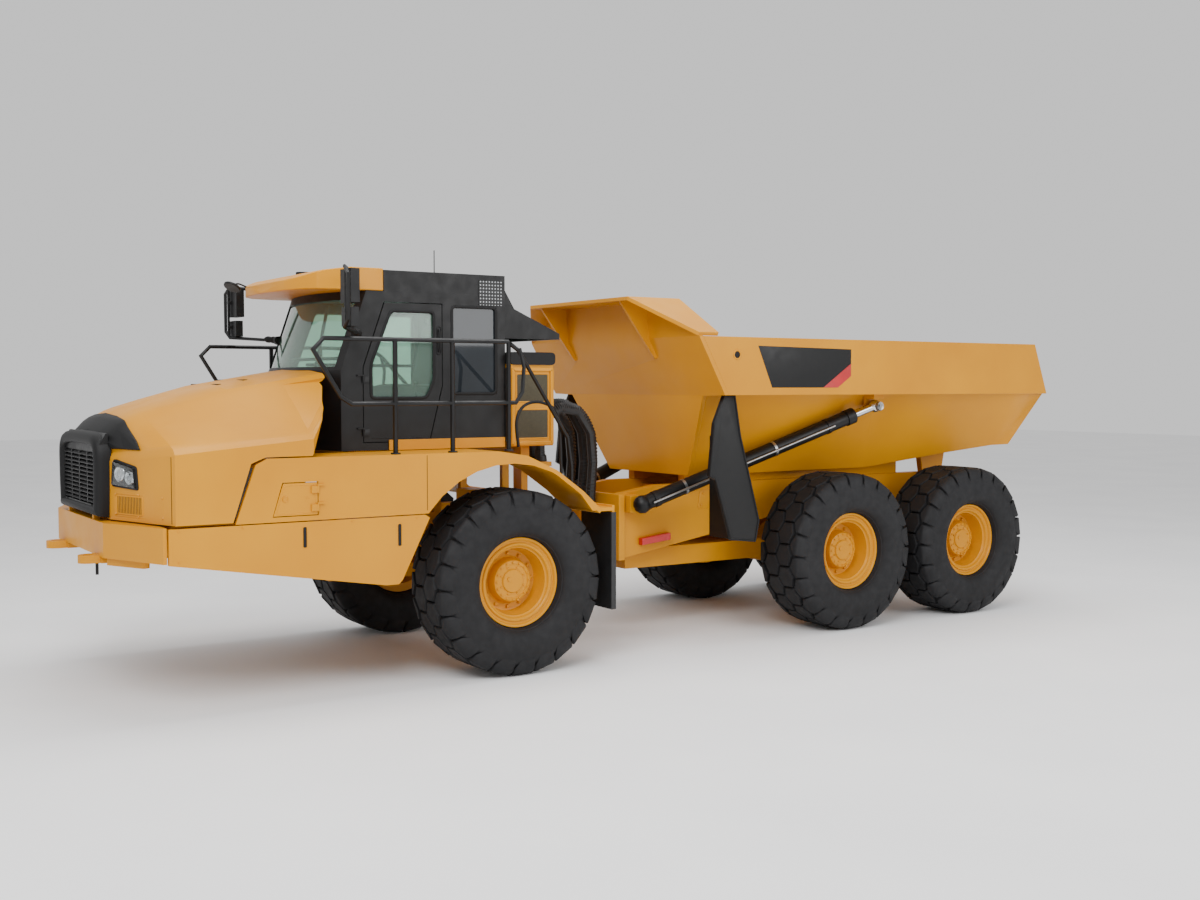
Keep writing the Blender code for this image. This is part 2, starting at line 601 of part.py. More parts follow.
LAMP = [(0.80, 1.98), (1.14, 1.94), (1.12, 2.10), (0.82, 2.16)]     # x, height seen from the front
lamp_pockets = []
for _, side in SIDES:
    lamp_pockets.append(prism("Y", [(side * x, z) for x, z in LAMP], along(-3.80), along(-3.30)))
nose_opening = prism("Y", [(-0.60, 1.50), (0.60, 1.50), (0.60, 2.25), (-0.60, 2.25)], along(-3.80),
                     along(-3.50))
node("hood", "yellow", [hood_outer],
     cuts=[hood_inner, side_prism(below, (-2.0, 2.0)), side_prism(behind, (-2.0, 2.0)), cab_room,
           nose_opening,
           *lamp_pockets])

grille_face = [(-3.69, HOOD_LOW + 0.03), (-3.70, 1.90), (-3.67, 2.30), (-3.62, 2.39), (GRILLE_BACK, 2.39),
               (GRILLE_BACK, HOOD_LOW + 0.01)]
grille_slot = [(-3.80, 1.76), (-3.80, 2.22), (-3.66, 2.22), (-3.66, 1.76)]
lug_slots = [rows(span(side, LUG[0] - 0.003, LUG[1] + 0.003), (-3.80, -3.50), (1.55, HOOD_PIVOT[1] + 0.07))
             for _, side in SIDES]
pin_bores = [disc("X", (along(HOOD_PIVOT[0]), HOOD_PIVOT[1]), bore_for(0.012, 12),
                  *span(side, LUG[0] - 0.025, LUG[1] + 0.025), 12) for _, side in SIDES]
node("grille", "black_paint", [side_prism(grille_face, (-NOSE_HALF, NOSE_HALF))],
     cuts=[side_prism(grille_slot, (-NOSE_HALF + 0.10, NOSE_HALF - 0.10)), *lug_slots, *pin_bores])

for hand, side in SIDES:
    inset = [(side * x, z) for x, z in grown(LAMP, -GAP)]
    outer_x, inner_x = side * 1.20, side * 0.74
    face = [(inner_x, along(-3.594)), (outer_x, along(-3.4445)), (outer_x, along(-3.36)),
            (inner_x, along(-3.51))]
    node(f"{hand}_headlamp", "lamp", [prism("Z", face, 1.80, 2.30)],
         keep=prism("Y", inset, along(-3.80), along(-3.30)))


# ---- cab -----------------------------------------------------------------------------
DOOR_LINE = [(DOOR[0], DOOR_FOOT), (DOOR[1] - 0.14, DOOR_FOOT), (DOOR[1], 2.80), (DOOR[1], DOOR_HEAD),
             (DOOR[0] + 0.22, DOOR_HEAD), (DOOR[0], 2.98)]
DOOR_GLASS = [(DOOR[0] + 0.08, 2.68), (DOOR[1] - 0.17, 2.68), (DOOR[1] - 0.09, 2.86), (DOOR[1] - 0.09, 3.52),
              (DOOR[0] + 0.29, 3.52), (DOOR[0] + 0.08, 3.00)]
QUARTER = [(-0.40, SILL), (0.10, SILL), (0.10, 3.58), (-0.40, 3.58)]
RIGHT_LIGHT = [(-1.26, SILL), (0.10, SILL), (0.10, 3.58), (-1.04, 3.58), (-1.26, 3.00)]
SCREEN_LOW, SCREEN_TOP = 2.98, 3.62
REAR_LIGHT = ((-0.74, 0.74), (2.80, 3.55))


def cab_wall(outer, inner, low=CAB_FLOOR, top=CAB_EAVES):
    """The cab's wall between two insets, as a solid and the hollow to cut from it."""
    heights = [low, LEAN_FROM, top]
    solid = loft([cab_plan(z, outer) for z in heights])
    hollow = loft([cab_plan(z, inner) for z in [low - 0.5, LEAN_FROM, top, top + 0.5]])
    return solid, hollow


def inside(outline, amount):
    """An outline drawn in towards its middle by an amount."""
    return grown(outline, -amount)


WALL_X = (CAB_HALF - 0.2, CAB_HALF + 0.2)
RIGHT_X = (-CAB_HALF - 0.2, -CAB_HALF + 0.2)
shell_solid = loft([cab_plan(z, 0.0) for z in (CAB_FLOOR, LEAN_FROM, CAB_EAVES)])
shell_hollow = loft([cab_plan(z, CAB_WALL)
                     for z in (CAB_FLOOR + CAB_WALL, LEAN_FROM, CAB_EAVES, CAB_EAVES + 0.3)])
ROOF_SPLIT = -1.12
black_roof = rows((-CAB_HALF + 0.001, CAB_HALF - 0.001), (ROOF_SPLIT, CAB_REAR - 0.001),
                  (CAB_EAVES - 0.02, 3.90))
guard = side_prism([(CAB_REAR - 0.02, 3.88), (0.36, 3.58), (0.90, 3.34), (0.90, 3.28),
                    (CAB_REAR - 0.02, 3.28)],
                   (-0.88, 0.88))
guard_hollow = side_prism([(CAB_REAR + 0.03, 3.70), (0.34, 3.54), (0.84, 3.32), (0.84, 3.20),
                           (CAB_REAR + 0.03, 3.20)],
                          (-0.85, 0.85))
antenna = disc("Z", (0.0, along(-0.10)), 0.006, 3.89, 4.22, 6)
shell_cuts = [side_prism(DOOR_LINE, WALL_X), side_prism(QUARTER, WALL_X), side_prism(RIGHT_LIGHT, RIGHT_X),
              block((-0.88, 0.88), (along(-2.2), along(-1.1)), (SCREEN_LOW, SCREEN_TOP)),
              block(REAR_LIGHT[0], (along(0.1), along(0.24)), REAR_LIGHT[1])]
door_knuckles, door_bores, door_pins = upright_hinge(CAB_HALF, DOOR[0], (2.36, 2.86), 1)
# the roof, guard and antenna are added after the hollow is cut, so that it stays clear of them
node("cab_shell", "black_paint", [shell_solid], cuts=[shell_hollow, *shell_cuts, guard_hollow],
     added=[black_roof, guard, antenna, *door_pins], bores=[guard_hollow, shell_cuts[-1]])

roof_top = [(-1.97, 3.70), (-1.93, 3.80), (-1.70, 3.88), (-1.45, 3.915), (ROOF_SPLIT - GAP, 3.915),
            (ROOF_SPLIT - GAP, CAB_EAVES + GAP), (-1.70, CAB_EAVES + GAP)]
VISOR_ROOT, VISOR_REACH = -1.50, 0.47       # the visor bows forward from a station by a reach
VISOR_ROUNDING = 0.7
roof_plan = [(-CAB_HALF, along(ROOF_SPLIT - GAP))]
for angle in (0, 25, 45, 65, 90, 115, 135, 155, 180):
    across, forward = math.cos(math.radians(angle)), math.sin(math.radians(angle))
    half = math.copysign(CAB_HALF * abs(across) ** VISOR_ROUNDING, -across)
    roof_plan.append((half, along(VISOR_ROOT - VISOR_REACH * forward ** VISOR_ROUNDING)))
roof_plan += [(CAB_HALF, along(ROOF_SPLIT - GAP))]
node("cab_roof", "yellow", [side_prism(roof_top, (-CAB_HALF - 0.1, CAB_HALF + 0.1))],
     keep=prism("Z", roof_plan, 3.5, 4.1))


def pane(name, keep):
    """One glass pane of the cab, cut from a thin skin inside its outer face."""
    solid, hollow = cab_wall(0.016, 0.016 + GLASS)
    node(name, "glass", [solid], cuts=[hollow], keep=keep)


pane("windshield", block((-0.88 + GAP, 0.88 - GAP), (along(-2.2), along(-1.1)),
                         (SCREEN_LOW + GAP, SCREEN_TOP - GAP)))
pane("rear_window", block((REAR_LIGHT[0][0] + GAP, REAR_LIGHT[0][1] - GAP), (along(0.1), along(0.22)),
                          (REAR_LIGHT[1][0] + GAP, REAR_LIGHT[1][1] - GAP)))
pane("left_quarter_glass", side_prism(inside(QUARTER, GAP), WALL_X))
pane("right_side_glass", side_prism(inside(RIGHT_LIGHT, GAP), RIGHT_X))
pane("door_glass", side_prism(inside(DOOR_GLASS, GAP), WALL_X))

door_solid, door_hollow = cab_wall(0.0, CAB_WALL)
node("cab_door", "black_paint", [door_solid], cuts=[door_hollow, side_prism(DOOR_GLASS, WALL_X)],
     keep=side_prism(inside(DOOR_LINE, CLEAR), WALL_X), added=door_knuckles, bores=door_bores)

FLOOR_IN = CAB_FLOOR + CAB_WALL + GAP
node("cab_interior", "seat",
     [rows((-0.85, 0.85), (-1.40, 0.05), (FLOOR_IN, FLOOR_IN + 0.03)),
      rows((-0.20, 0.20), (-0.62, -0.20), (FLOOR_IN + 0.02, 2.66)),
      rows((-0.27, 0.27), (-0.72, -0.16), (2.65, 2.80)),
      side_prism([(-0.28, 2.74), (-0.16, 2.74), (-0.02, 3.46), (-0.12, 3.46)], (-0.25, 0.25)),
      rows((-0.52, 0.52), (-1.50, -1.28), (2.50, 2.92)),
      rows((-0.18, 0.18), (-1.44, -1.30), (FLOOR_IN + 0.02, 2.55)),
      side_prism([(-1.30, 2.55), (-1.28, 2.50), (-0.98, 2.94), (-1.02, 2.97)], (-0.04, 0.04)),
      prism("Y", arc((0.0, 2.98), 0.21, 0, 337.5, 15), along(-1.02), along(-0.98))])


# ---- handrails, mirrors, cooling box -------------------------------------------------------
RAIL_X = 1.60
RAIL = 0.021
RAIL_TOP = 3.22
for hand, side in SIDES:
    x = side * RAIL_X
    loop = tube([at(x, s, z) for s, z in
                 ((-0.12, RAIL_TOP), (-1.98, RAIL_TOP), (-2.08, 3.12), (-1.82, 2.70), (-1.72, 2.64),
                  (-0.04, 2.64), (0.03, 2.74), (0.05, 2.98), (0.00, 3.16))], RAIL)
    posts = [tube([at(x, s, DECK_TOP + GAP), at(x, s, RAIL_TOP)], RAIL + 0.002)
             for s in (-1.30, -0.72, -0.12)]
    stair = tube([at(x, -0.10, 3.20), at(side * 1.58, 0.0, 3.14), at(side * 1.32, 0.72, 2.28),
                  at(side * 1.30, 0.78, 1.98),
                  at(side * 1.30, 0.78, 1.713)], RAIL)
    node(f"{hand}_handrail", "black_steel", [loop, *posts, stair])

    frame = tube([at(side * (CAB_HALF + GAP), -1.45, 3.80), at(side * 1.08, -1.45, 3.80),
                  at(side * 1.57, -1.765, 3.86),
                  at(side * 1.68, -1.78, 3.79), at(side * 1.68, -1.78, 3.39), at(side * 1.57, -1.77, 3.32),
                  at(side * 1.08, -1.42, 3.28), at(side * (CAB_HALF + GAP), -1.42, 3.28)], 0.018)
    stem = tube([at(side * 1.60, -1.772, 3.842), at(side * 1.60, -1.772, 3.338)], 0.0131, 8)
    upper = rows(span(side, 1.42, 1.655), (-1.745, -1.66), (3.54, 3.84))
    lower = rows(span(side, 1.44, 1.655), (-1.745, -1.67), (3.33, 3.50))
    brackets = [rows(span(side, 1.58, 1.62), (-1.78, -1.73), (z, z + 0.03)) for z in (3.42, 3.68)]
    node(f"{hand}_mirror", "black_paint", [frame, stem, upper, lower, *brackets])

COOLER = ((-1.05, 1.05), (0.22, 0.72))
node("cooler_pack", "yellow",
     [rows(COOLER[0], COOLER[1], (CAB_FLOOR, 3.03)),
      rows((-0.99, 0.99), (0.26, 0.68), (3.02, 3.12))])


# ---- hitch and hoses ---------------------------------------------------------------------------
PIN_X, PIN_Y = 0.0, along(HITCH_STATION)
post = disc("Z", (PIN_X, PIN_Y), 0.13, PIVOT_FOOT[1] + RUNNING, PIVOT_TOP[0] - RUNNING, 16)
pin = disc("Z", (PIN_X, PIN_Y), 0.08, PIVOT_FOOT[0] + 0.01, PIVOT_TOP[1] - 0.01, 16)
neck = rows((-0.12, 0.12), (HITCH_STATION, HITCH_STATION + 0.2), (0.96, 1.34))
hitch_tube = disc("Y", (0.0, HITCH_HEIGHT), HITCH_TUBE, along(HITCH_STATION + 0.13),
                  along(FRAME_FRONT - RUNNING), 20)
STUB = 0.13
hitch_stub = disc("Y", (0.0, HITCH_HEIGHT), STUB, along(FRAME_FRONT - 0.02), along(FRAME_FRONT + 0.24), 20)
EYE_HALF = 0.04
ear_z = STEER_HEAD[2] - EYE_HALF
steer_ears = [rows(span(side, 0.08, STEER_HEAD[0] + 0.06), (STEER_HEAD[1] - 0.07, STEER_HEAD[1] + 0.07),
                   (ear_z - 0.06, ear_z - RUNNING)) for _, side in SIDES]
hose_shelf = rows((-0.34, 0.34), (HITCH_STATION + 0.22, HITCH_STATION + 0.34), (HITCH_HEIGHT + 0.10, 1.40))
node("hitch", "yellow", [post, pin, neck, hitch_tube, hitch_stub, *steer_ears, hose_shelf])

HOSE = 0.055
HOSE_X = (-0.16, 0.10, 0.28)
hoses = []
for x, lift in zip(HOSE_X, (0.0, 0.06, 0.02)):
    route = [HOSE_END, (HOSE_END[0], 2.20), (HITCH_STATION - 0.30, 2.44 + lift),
             (HITCH_STATION - 0.10, 2.54 + lift), (HITCH_STATION + 0.12,
                                                   2.50 + lift), (HITCH_STATION + 0.28, 2.28),
             (HITCH_STATION + 0.31, 1.95), (HITCH_STATION + 0.28, 1.60), (HITCH_STATION + 0.28, 1.40 + GAP)]
    hoses.append(tube([at(x, s, z) for s, z in route], HOSE, 8))
strap = rows((HOSE_X[0], HOSE_X[-1]), (HITCH_STATION + 0.26, HITCH_STATION + 0.31), (1.60, 1.68))
node("hitch_hoses", "rubber", [*hoses, strap])


# ---- rear half: frame, bed, cylinders ------------------------------------------------------------
CHEEK_IN, CHEEK_OUT = 0.44, 0.56
cheek_line = [(FRAME_FRONT + 0.02, 0.87), (3.30, 1.10), (4.10, 1.24), (6.95, REAR_FRAME_LOW), (6.95, 1.60),
              (6.85, REAR_FRAME_TOP), (2.40, REAR_FRAME_TOP), (FRAME_FRONT + 0.02, 1.60)]
cheeks = [side_prism(cheek_line, span(side, CHEEK_IN, CHEEK_OUT)) for _, side in SIDES]
front_plate = rows((-0.62, 0.62), (FRAME_FRONT, FRAME_FRONT + 0.08), (0.87, 1.60))
frame_cross = [rows((-CHEEK_IN - 0.02, CHEEK_IN + 0.02), (s, s + 0.16), (1.32, 1.62))
               for s in (2.9, 4.0, 5.1, 6.2)]
trunnion_seats = [rows(span(side, CHEEK_IN - 0.02, CHEEK_OUT), (BOGIE_MIDDLE - 0.16, BOGIE_MIDDLE + 0.16),
                       (WALK_PIN_Z + 0.07 + GAP, REAR_FRAME_LOW + 0.04)) for _, side in SIDES]
drawbar_seat = rows((-CHEEK_IN - 0.01, CHEEK_IN + 0.01), (2.08, 2.20), (0.96 + GAP, 1.01))
hoist_feet = [rows(span(side, CHEEK_OUT - 0.02, HOIST_FOOT[0] - HOIST_BALL - RUNNING),
                   (HOIST_FOOT[1] - 0.09, HOIST_FOOT[1] + 0.09), (HOIST_FOOT[2] - 0.10,
                                                                  HOIST_FOOT[2] + 0.09)) for _, side in SIDES]
hinge_pins = [disc("X", (along(HINGE_STATION), HINGE_HEIGHT), 0.05, *span(side, CHEEK_OUT - 0.02, 0.70), 16)
              for _, side in SIDES]
stub_bore = disc("Y", (0.0, HITCH_HEIGHT), bore_for(STUB, 20), along(FRAME_FRONT - 0.1),
                 along(FRAME_FRONT + 0.2), 20)
node("rear_frame", "yellow",
     [front_plate, *cheeks, *frame_cross, *trunnion_seats, drawbar_seat, *hoist_feet, *hinge_pins],
     cuts=[stub_bore])

node("articulation_lock", "red",
     [side_prism([(2.14, 1.02), (2.54, 1.06), (2.54, 1.14), (2.14, 1.10)],
                 (CHEEK_OUT + GAP, CHEEK_OUT + 0.07))])

BOARD_FOOT, BOARD_BEND, BOARD_CREST = 2.66, 2.45, 2.10      # stations of the headboard's front face
BOARD_LEAN = (BOARD_FOOT - BOARD_BEND) / (BED_BAND_LOW - BED_FLOOR_LOW)
HEADBOARD = [(BED_FLOOR_LOW, BOARD_FOOT, BED_FLOOR_HALF),
             (BED_BAND_LOW - 0.01, BOARD_BEND + 0.01 * BOARD_LEAN, 1.31),
             (BED_BAND_LOW, BOARD_BEND, HALF_WIDTH), (BED_BAND_TOP, BOARD_CREST, HALF_WIDTH), (3.74, 2.06,
                                                                                               1.01)]
HEADBOARD_PLATE = 0.055
BELLY = [(2.0, BED_FLOOR_LOW), (5.42, BED_FLOOR_LOW), (6.74, 1.98), (7.17, 2.04), (7.40, 2.05)]
FLOOR_HALF = [(2.0, BED_FLOOR_HALF), (5.42, BED_FLOOR_HALF), (6.60, 1.08), (7.40, 1.35)]
WALL_HALF = [(2.0, BED_WALL_TOP_HALF), (5.42, BED_WALL_TOP_HALF), (7.24, 1.62), (7.70, 1.66)]
TAIL_LINE = [(2.05, 7.40), (2.31, 7.55), (BED_BAND_LOW, TAIL_REACH), (3.32, 7.46)]     # height, station


def headboard_front(height):
    return between(height, [(z, s) for z, s, _ in HEADBOARD])


def bed_front(height):
    """Station at which the floor and sides start, behind the headboard."""
    return headboard_front(height) + HEADBOARD_PLATE + GAP


def tail_end(height):
    return between(height, TAIL_LINE)


def side_section(side, station):
    """A loop of (x, height) round one bed side: sloped wall and box-section band."""
    floor, low, wall = between(station, FLOOR_HALF), between(station, BELLY), between(station, WALL_HALF)
    ring = [(floor, low), (wall, BED_BAND_LOW), (HALF_WIDTH, BED_BAND_LOW), (HALF_WIDTH, BED_BAND_TOP),
            (max(wall - 0.02, HALF_WIDTH - 0.20), BED_BAND_TOP), (wall - 0.05, BED_BAND_LOW),
            (floor - BED_PLATE, low + BED_PLATE)]
    return [(side * x, z) for x, z in ring]


def floor_section(station):
    half, low = between(station, FLOOR_HALF), between(station, BELLY)
    inner = half - BED_PLATE - GAP * 2
    return [(-half + GAP * 2, low), (half - GAP * 2, low), (inner, low + BED_PLATE),
            (-inner, low + BED_PLATE)]


def bed_loft(section, caps=None):
    """A loft along the bed whose first loop lies on the headboard and whose last lies on the tail's slant."""
    loops = [[at(x, bed_front(z), z) for x, z in section(3.0)]]
    loops += [[at(x, s, z) for x, z in section(s)] for s in (3.2, 5.42, 6.60, 7.17)]
    loops += [[at(x, tail_end(z), z) for x, z in section(7.40)]]
    return loft(loops, caps)


SIDE_CAPS = [(0, 1, 5, 6), (1, 2, 3, 4, 5)]
SHIELD_IN, SHIELD_OUT = 1.52, 1.55
SHIELD_LEAF = [(2.56, BED_BAND_LOW + 0.01), (2.42, 2.40), (2.36, 1.84), (2.44, 1.80), (2.66, 1.14),
               (3.00, 1.10),
               (3.05, 1.33), (2.78, 2.27), (2.70, BED_BAND_LOW + 0.01)]
for hand, side in SIDES:
    leaf = side_prism(SHIELD_LEAF, span(side, SHIELD_IN, SHIELD_OUT))
    fold = rows(span(side, 1.18, SHIELD_OUT - 0.002), (2.66, 2.69), (1.15, 2.25))
    spot = (HOIST_HEAD[1] - 0.08, HOIST_HEAD[1] + 0.08)
    pad_low = HOIST_HEAD[2] + HOIST_EYE + 0.010
    pad = rows(span(side, HOIST_HEAD[0] - 0.095, HOIST_HEAD[0] + 0.07), spot, (pad_low, BED_BAND_LOW + 0.01))
    web = rows(span(side, HOIST_HEAD[0] - 0.10, HOIST_HEAD[0] - HOIST_EYE - GAP), spot,
               (2.48, BED_BAND_LOW + 0.005))
    node(f"bed_side_{hand}", "yellow",
         [bed_loft(lambda s, k=side: side_section(k, s), SIDE_CAPS), leaf, fold, pad, web])

EAR = (CHEEK_OUT + 0.014, CHEEK_OUT + 0.10)
bolster_line = [(2.78, REAR_FRAME_TOP + GAP), (6.20, REAR_FRAME_TOP + GAP), (6.20, 1.92), (5.42, 1.80),
                (2.78, 1.80)]
ear_line = [(6.52, 1.97), (6.62, 1.44)] + [(HINGE_STATION + dz * 0.12, HINGE_HEIGHT - 0.11)
                                           for dz in (-0.6, 0.6)]
ear_line += [(6.88, 1.44), (7.00, 2.03)]
bolsters = [side_prism(bolster_line, span(side, CHEEK_IN, CHEEK_OUT)) for _, side in SIDES]
hinge_ears = [side_prism(ear_line, span(side, *EAR)) for _, side in SIDES]
ear_bores = [disc("X", (along(HINGE_STATION), HINGE_HEIGHT), 0.0515, *span(side, 0.50, 0.75), 16)
             for _, side in SIDES]
node("bed_floor", "yellow", [bed_loft(floor_section), *bolsters, *hinge_ears], cuts=ear_bores)

board_loops = []
for z, s, half in HEADBOARD:
    board_loops.append([at(-half, s, z), at(half, s, z), at(half, s + HEADBOARD_PLATE, z),
                        at(-half, s + HEADBOARD_PLATE, z)])
CANOPY_PLATE = 0.04
CANOPY_EDGE = BED_BAND_TOP + CANOPY_PLATE
canopy_line = [(-HALF_WIDTH, CANOPY_EDGE), (-1.01, 3.75), (1.01, 3.75), (HALF_WIDTH, CANOPY_EDGE)]
flange = ribbon(canopy_line, CANOPY_PLATE)
flange_plan = [(-HALF_WIDTH, along(2.36)), (-HALF_WIDTH, along(2.10)), (-1.01, along(1.67)),
               (1.01, along(1.67)),
               (HALF_WIDTH, along(2.10)), (HALF_WIDTH, along(2.36))]
canopy = prism("Y", flange, along(1.60), along(2.36))
canopy_trim = prism("Z", flange_plan, 3.0, 4.0)
gussets = [side_prism([(1.72, 3.72), (2.10, 3.72), (2.24, 3.10), (2.19, 3.10)], (x - 0.02, x + 0.02))
           for x in (-0.86, 0.78)]
node("bed_headboard", "yellow", [loft(board_loops), carve(canopy, "INTERSECT", [canopy_trim]), *gussets])


def eye(centre, direction, radius, half):
    """A cylinder's eye: a short bar across its pin, or a ball where it has no direction."""
    middle = Vector(centre)
    if direction is None:
        profile = [(centre[0] + radius * math.cos(math.radians(a)),
                    max(radius * math.sin(math.radians(a)), 0.004))
                   for a in range(0, 181, 18)]
        return turned(profile, (centre[1], centre[2]), 12, flat_foot=True)
    return bar(middle - direction * half, middle + direction * half, radius, 14)


def ram(name, foot, head, pin_foot, pin_head, radius, barrel_length, rod_length, eyes):
    """Barrel and rod of one cylinder, from its foot pin to its head pin."""
    start, end = Vector(foot), Vector(head)
    run = (end - start).normalized()
    bore = bar(start + run * 0.16, end, radius * 0.55 + GAP * 2, 16)
    tube_body = bar(start, start + run * barrel_length, radius, 16)
    node(f"{name}_barrel", "black_steel", [tube_body, eye(foot, pin_foot, *eyes[0])], cuts=[bore])
    rod = bar(end - run * rod_length, end, radius * 0.55, 16)
    node(f"{name}_rod", "chrome", [rod, eye(head, pin_head, *eyes[1])])


UP = Vector((0, 0, 1))
for hand, side in SIDES:
    foot = (side * STEER_FOOT[0], along(STEER_FOOT[1]), STEER_FOOT[2])
    head = (side * STEER_HEAD[0], along(STEER_HEAD[1]), STEER_HEAD[2])
    ram(f"steer_{hand}", foot, head, UP, UP, STEER_RADIUS, 0.70, 0.78,
        ((STEER_RADIUS, STEER_RADIUS), (0.055, EYE_HALF)))
    foot = (side * HOIST_FOOT[0], along(HOIST_FOOT[1]), HOIST_FOOT[2])
    head = (side * HOIST_HEAD[0], along(HOIST_HEAD[1]), HOIST_HEAD[2])
    ram(f"hoist_{hand}", foot, head, None, None, HOIST_RADIUS, HOIST_CLOSED_BARREL, 2.98,
        ((HOIST_BALL, 0), (HOIST_EYE, 0)))
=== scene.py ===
"""Looks of the articulated dump truck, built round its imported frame.

Axes as in the frame: +Z up, -Y forward, +X the truck's left, metres. Stations run
rearwards from the front axle; along() turns them into Y.
"""

import json
import math

import bmesh
import bpy
import numpy as np
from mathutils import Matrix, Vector

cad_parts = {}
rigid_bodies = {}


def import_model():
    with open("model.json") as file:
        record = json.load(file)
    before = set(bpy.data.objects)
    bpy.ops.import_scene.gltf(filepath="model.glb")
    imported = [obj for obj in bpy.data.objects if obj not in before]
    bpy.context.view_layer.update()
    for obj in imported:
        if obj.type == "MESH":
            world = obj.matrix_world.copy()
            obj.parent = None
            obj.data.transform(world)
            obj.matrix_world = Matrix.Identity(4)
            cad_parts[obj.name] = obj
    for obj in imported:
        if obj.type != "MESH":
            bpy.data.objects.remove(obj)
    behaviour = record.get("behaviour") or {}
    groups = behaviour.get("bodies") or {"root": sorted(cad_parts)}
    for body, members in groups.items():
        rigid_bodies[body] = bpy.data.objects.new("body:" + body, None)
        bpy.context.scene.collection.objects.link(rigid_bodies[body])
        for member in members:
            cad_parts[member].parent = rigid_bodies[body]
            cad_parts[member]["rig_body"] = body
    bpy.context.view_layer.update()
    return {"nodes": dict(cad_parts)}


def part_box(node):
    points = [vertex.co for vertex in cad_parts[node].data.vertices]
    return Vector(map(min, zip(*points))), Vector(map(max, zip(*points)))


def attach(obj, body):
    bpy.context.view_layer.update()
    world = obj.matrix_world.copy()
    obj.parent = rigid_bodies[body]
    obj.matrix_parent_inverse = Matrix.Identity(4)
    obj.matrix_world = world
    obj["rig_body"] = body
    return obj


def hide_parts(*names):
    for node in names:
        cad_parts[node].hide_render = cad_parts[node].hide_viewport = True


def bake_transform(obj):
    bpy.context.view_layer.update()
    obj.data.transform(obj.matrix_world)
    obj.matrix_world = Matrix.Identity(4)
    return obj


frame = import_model()
SCENE = bpy.context.scene

# ---- places taken from the frame ------------------------------------------------
FRONT_AXLE_Y = float(sum(corner.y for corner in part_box("tyre_front_left")) / 2)
TYRE_RADIUS = float((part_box("tyre_front_left")[1].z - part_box("tyre_front_left")[0].z) / 2)
WHEEL_X = float(sum(corner.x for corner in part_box("tyre_front_left")) / 2)
HALF_WIDTH = float(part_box("bed_side_left")[1].x)
SIDES = (("left", 1), ("right", -1))


def along(station):
    """Y of a station measured from the front axle."""
    return FRONT_AXLE_Y + station


def point_at(x, station, height):
    """One point from its x, station and height."""
    return np.array((x, FRONT_AXLE_Y + station, height), float)


def points_at(rows):
    """An array of points from (x, station, height) rows."""
    made = np.array(rows, float)
    made[..., 1] += FRONT_AXLE_Y
    return made


# ---- materials --------------------------------------------------------------------
def linear(code):
    """Linear RGBA of an sRGB hex colour: the sRGB curve undone on each channel."""
    values = [int(code[i:i + 2], 16) / 255 for i in (1, 3, 5)]
    return (*[v / 12.92 if v <= 0.04045 else ((v + 0.055) / 1.055) ** 2.4 for v in values], 1.0)


def add(tree, kind, inputs=None, **settings):
    """Adds one node with its settings; an input is a value, or a (node, output) pair to link."""
    made = tree.nodes.new(kind)
    for name, value in settings.items():
        setattr(made, name, value)
    for socket, value in (inputs or {}).items():
        if isinstance(value, tuple) and isinstance(value[0], bpy.types.Node):
            tree.links.new(value[0].outputs[value[1]], made.inputs[socket])
        else:
            made.inputs[socket].default_value = value
    return made


def blank(name, **shader):
    """A new material's tree, its shader node and its Object coordinates."""
    made = bpy.data.materials.new(name)
    made.use_nodes = True
    tree = made.node_tree
    surface = tree.nodes["Principled BSDF"]
    for socket, value in shader.items():
        surface.inputs[socket.replace("_", " ")].default_value = value
    return made, tree, surface, add(tree, "ShaderNodeTexCoord")


NOISE_LOW, NOISE_HIGH = 0.3, 0.7          # the part of the noise's range that holds nearly all of it


def set_ramp(ramp, low_place, low, high_place, high):
    """A two-stop colour ramp from a low colour at one place to a high colour at another."""
    stops = ramp.color_ramp.elements
    stops[0].position, stops[0].color = low_place, low
    stops[1].position, stops[1].color = high_place, high


def mottled(tree, place, size_mm, low, high, detail=3.0):
    """Noise with features of a size in millimetres, mapped from low to high, which are colours or numbers."""
    noise = add(tree, "ShaderNodeTexNoise",
                {"Vector": (place, "Object"), "Scale": 1000.0 / size_mm, "Detail": detail})
    if isinstance(low, tuple):
        ramp = add(tree, "ShaderNodeValToRGB", {"Fac": (noise, "Fac")})
        set_ramp(ramp, NOISE_LOW, low, NOISE_HIGH, high)
        return (ramp, "Color")
    scaled = add(tree, "ShaderNodeMapRange", {"Value": (noise, "Fac"), "From Min": NOISE_LOW,
                                              "From Max": NOISE_HIGH, "To Min": low, "To Max": high})
    return (scaled, "Result")


def roughened(tree, surface, place, size_mm, depth_mm, strength=1.0, detail=2.0):
    """Fine relief of a grain size and depth in millimetres, as bump."""
    noise = add(tree, "ShaderNodeTexNoise",
                {"Vector": (place, "Object"), "Scale": 1000.0 / size_mm, "Detail": detail})
    embossed(tree, surface, (noise, "Fac"), depth_mm, strength)


def embossed(tree, surface, height, depth_mm, strength):
    """Relief of a depth in millimetres that follows a texture's output."""
    bump = add(tree, "ShaderNodeBump",
               {"Height": height, "Distance": depth_mm / 1000.0, "Strength": strength})
    tree.links.new(bump.outputs["Normal"], surface.inputs["Normal"])


def ribbed(tree, surface, place, scale, depth_mm, strength, distortion=0.0):
    """Parallel waves of relief across the piece."""
    wave = add(tree, "ShaderNodeTexWave",
               {"Vector": (place, "Object"), "Scale": scale, "Distortion": distortion})
    embossed(tree, surface, (wave, "Fac"), depth_mm, strength)


def feed(tree, surface, socket, source):
    """Links a texture's (node, output) to a socket of the shader."""
    tree.links.new(source[0].outputs[source[1]], surface.inputs[socket])


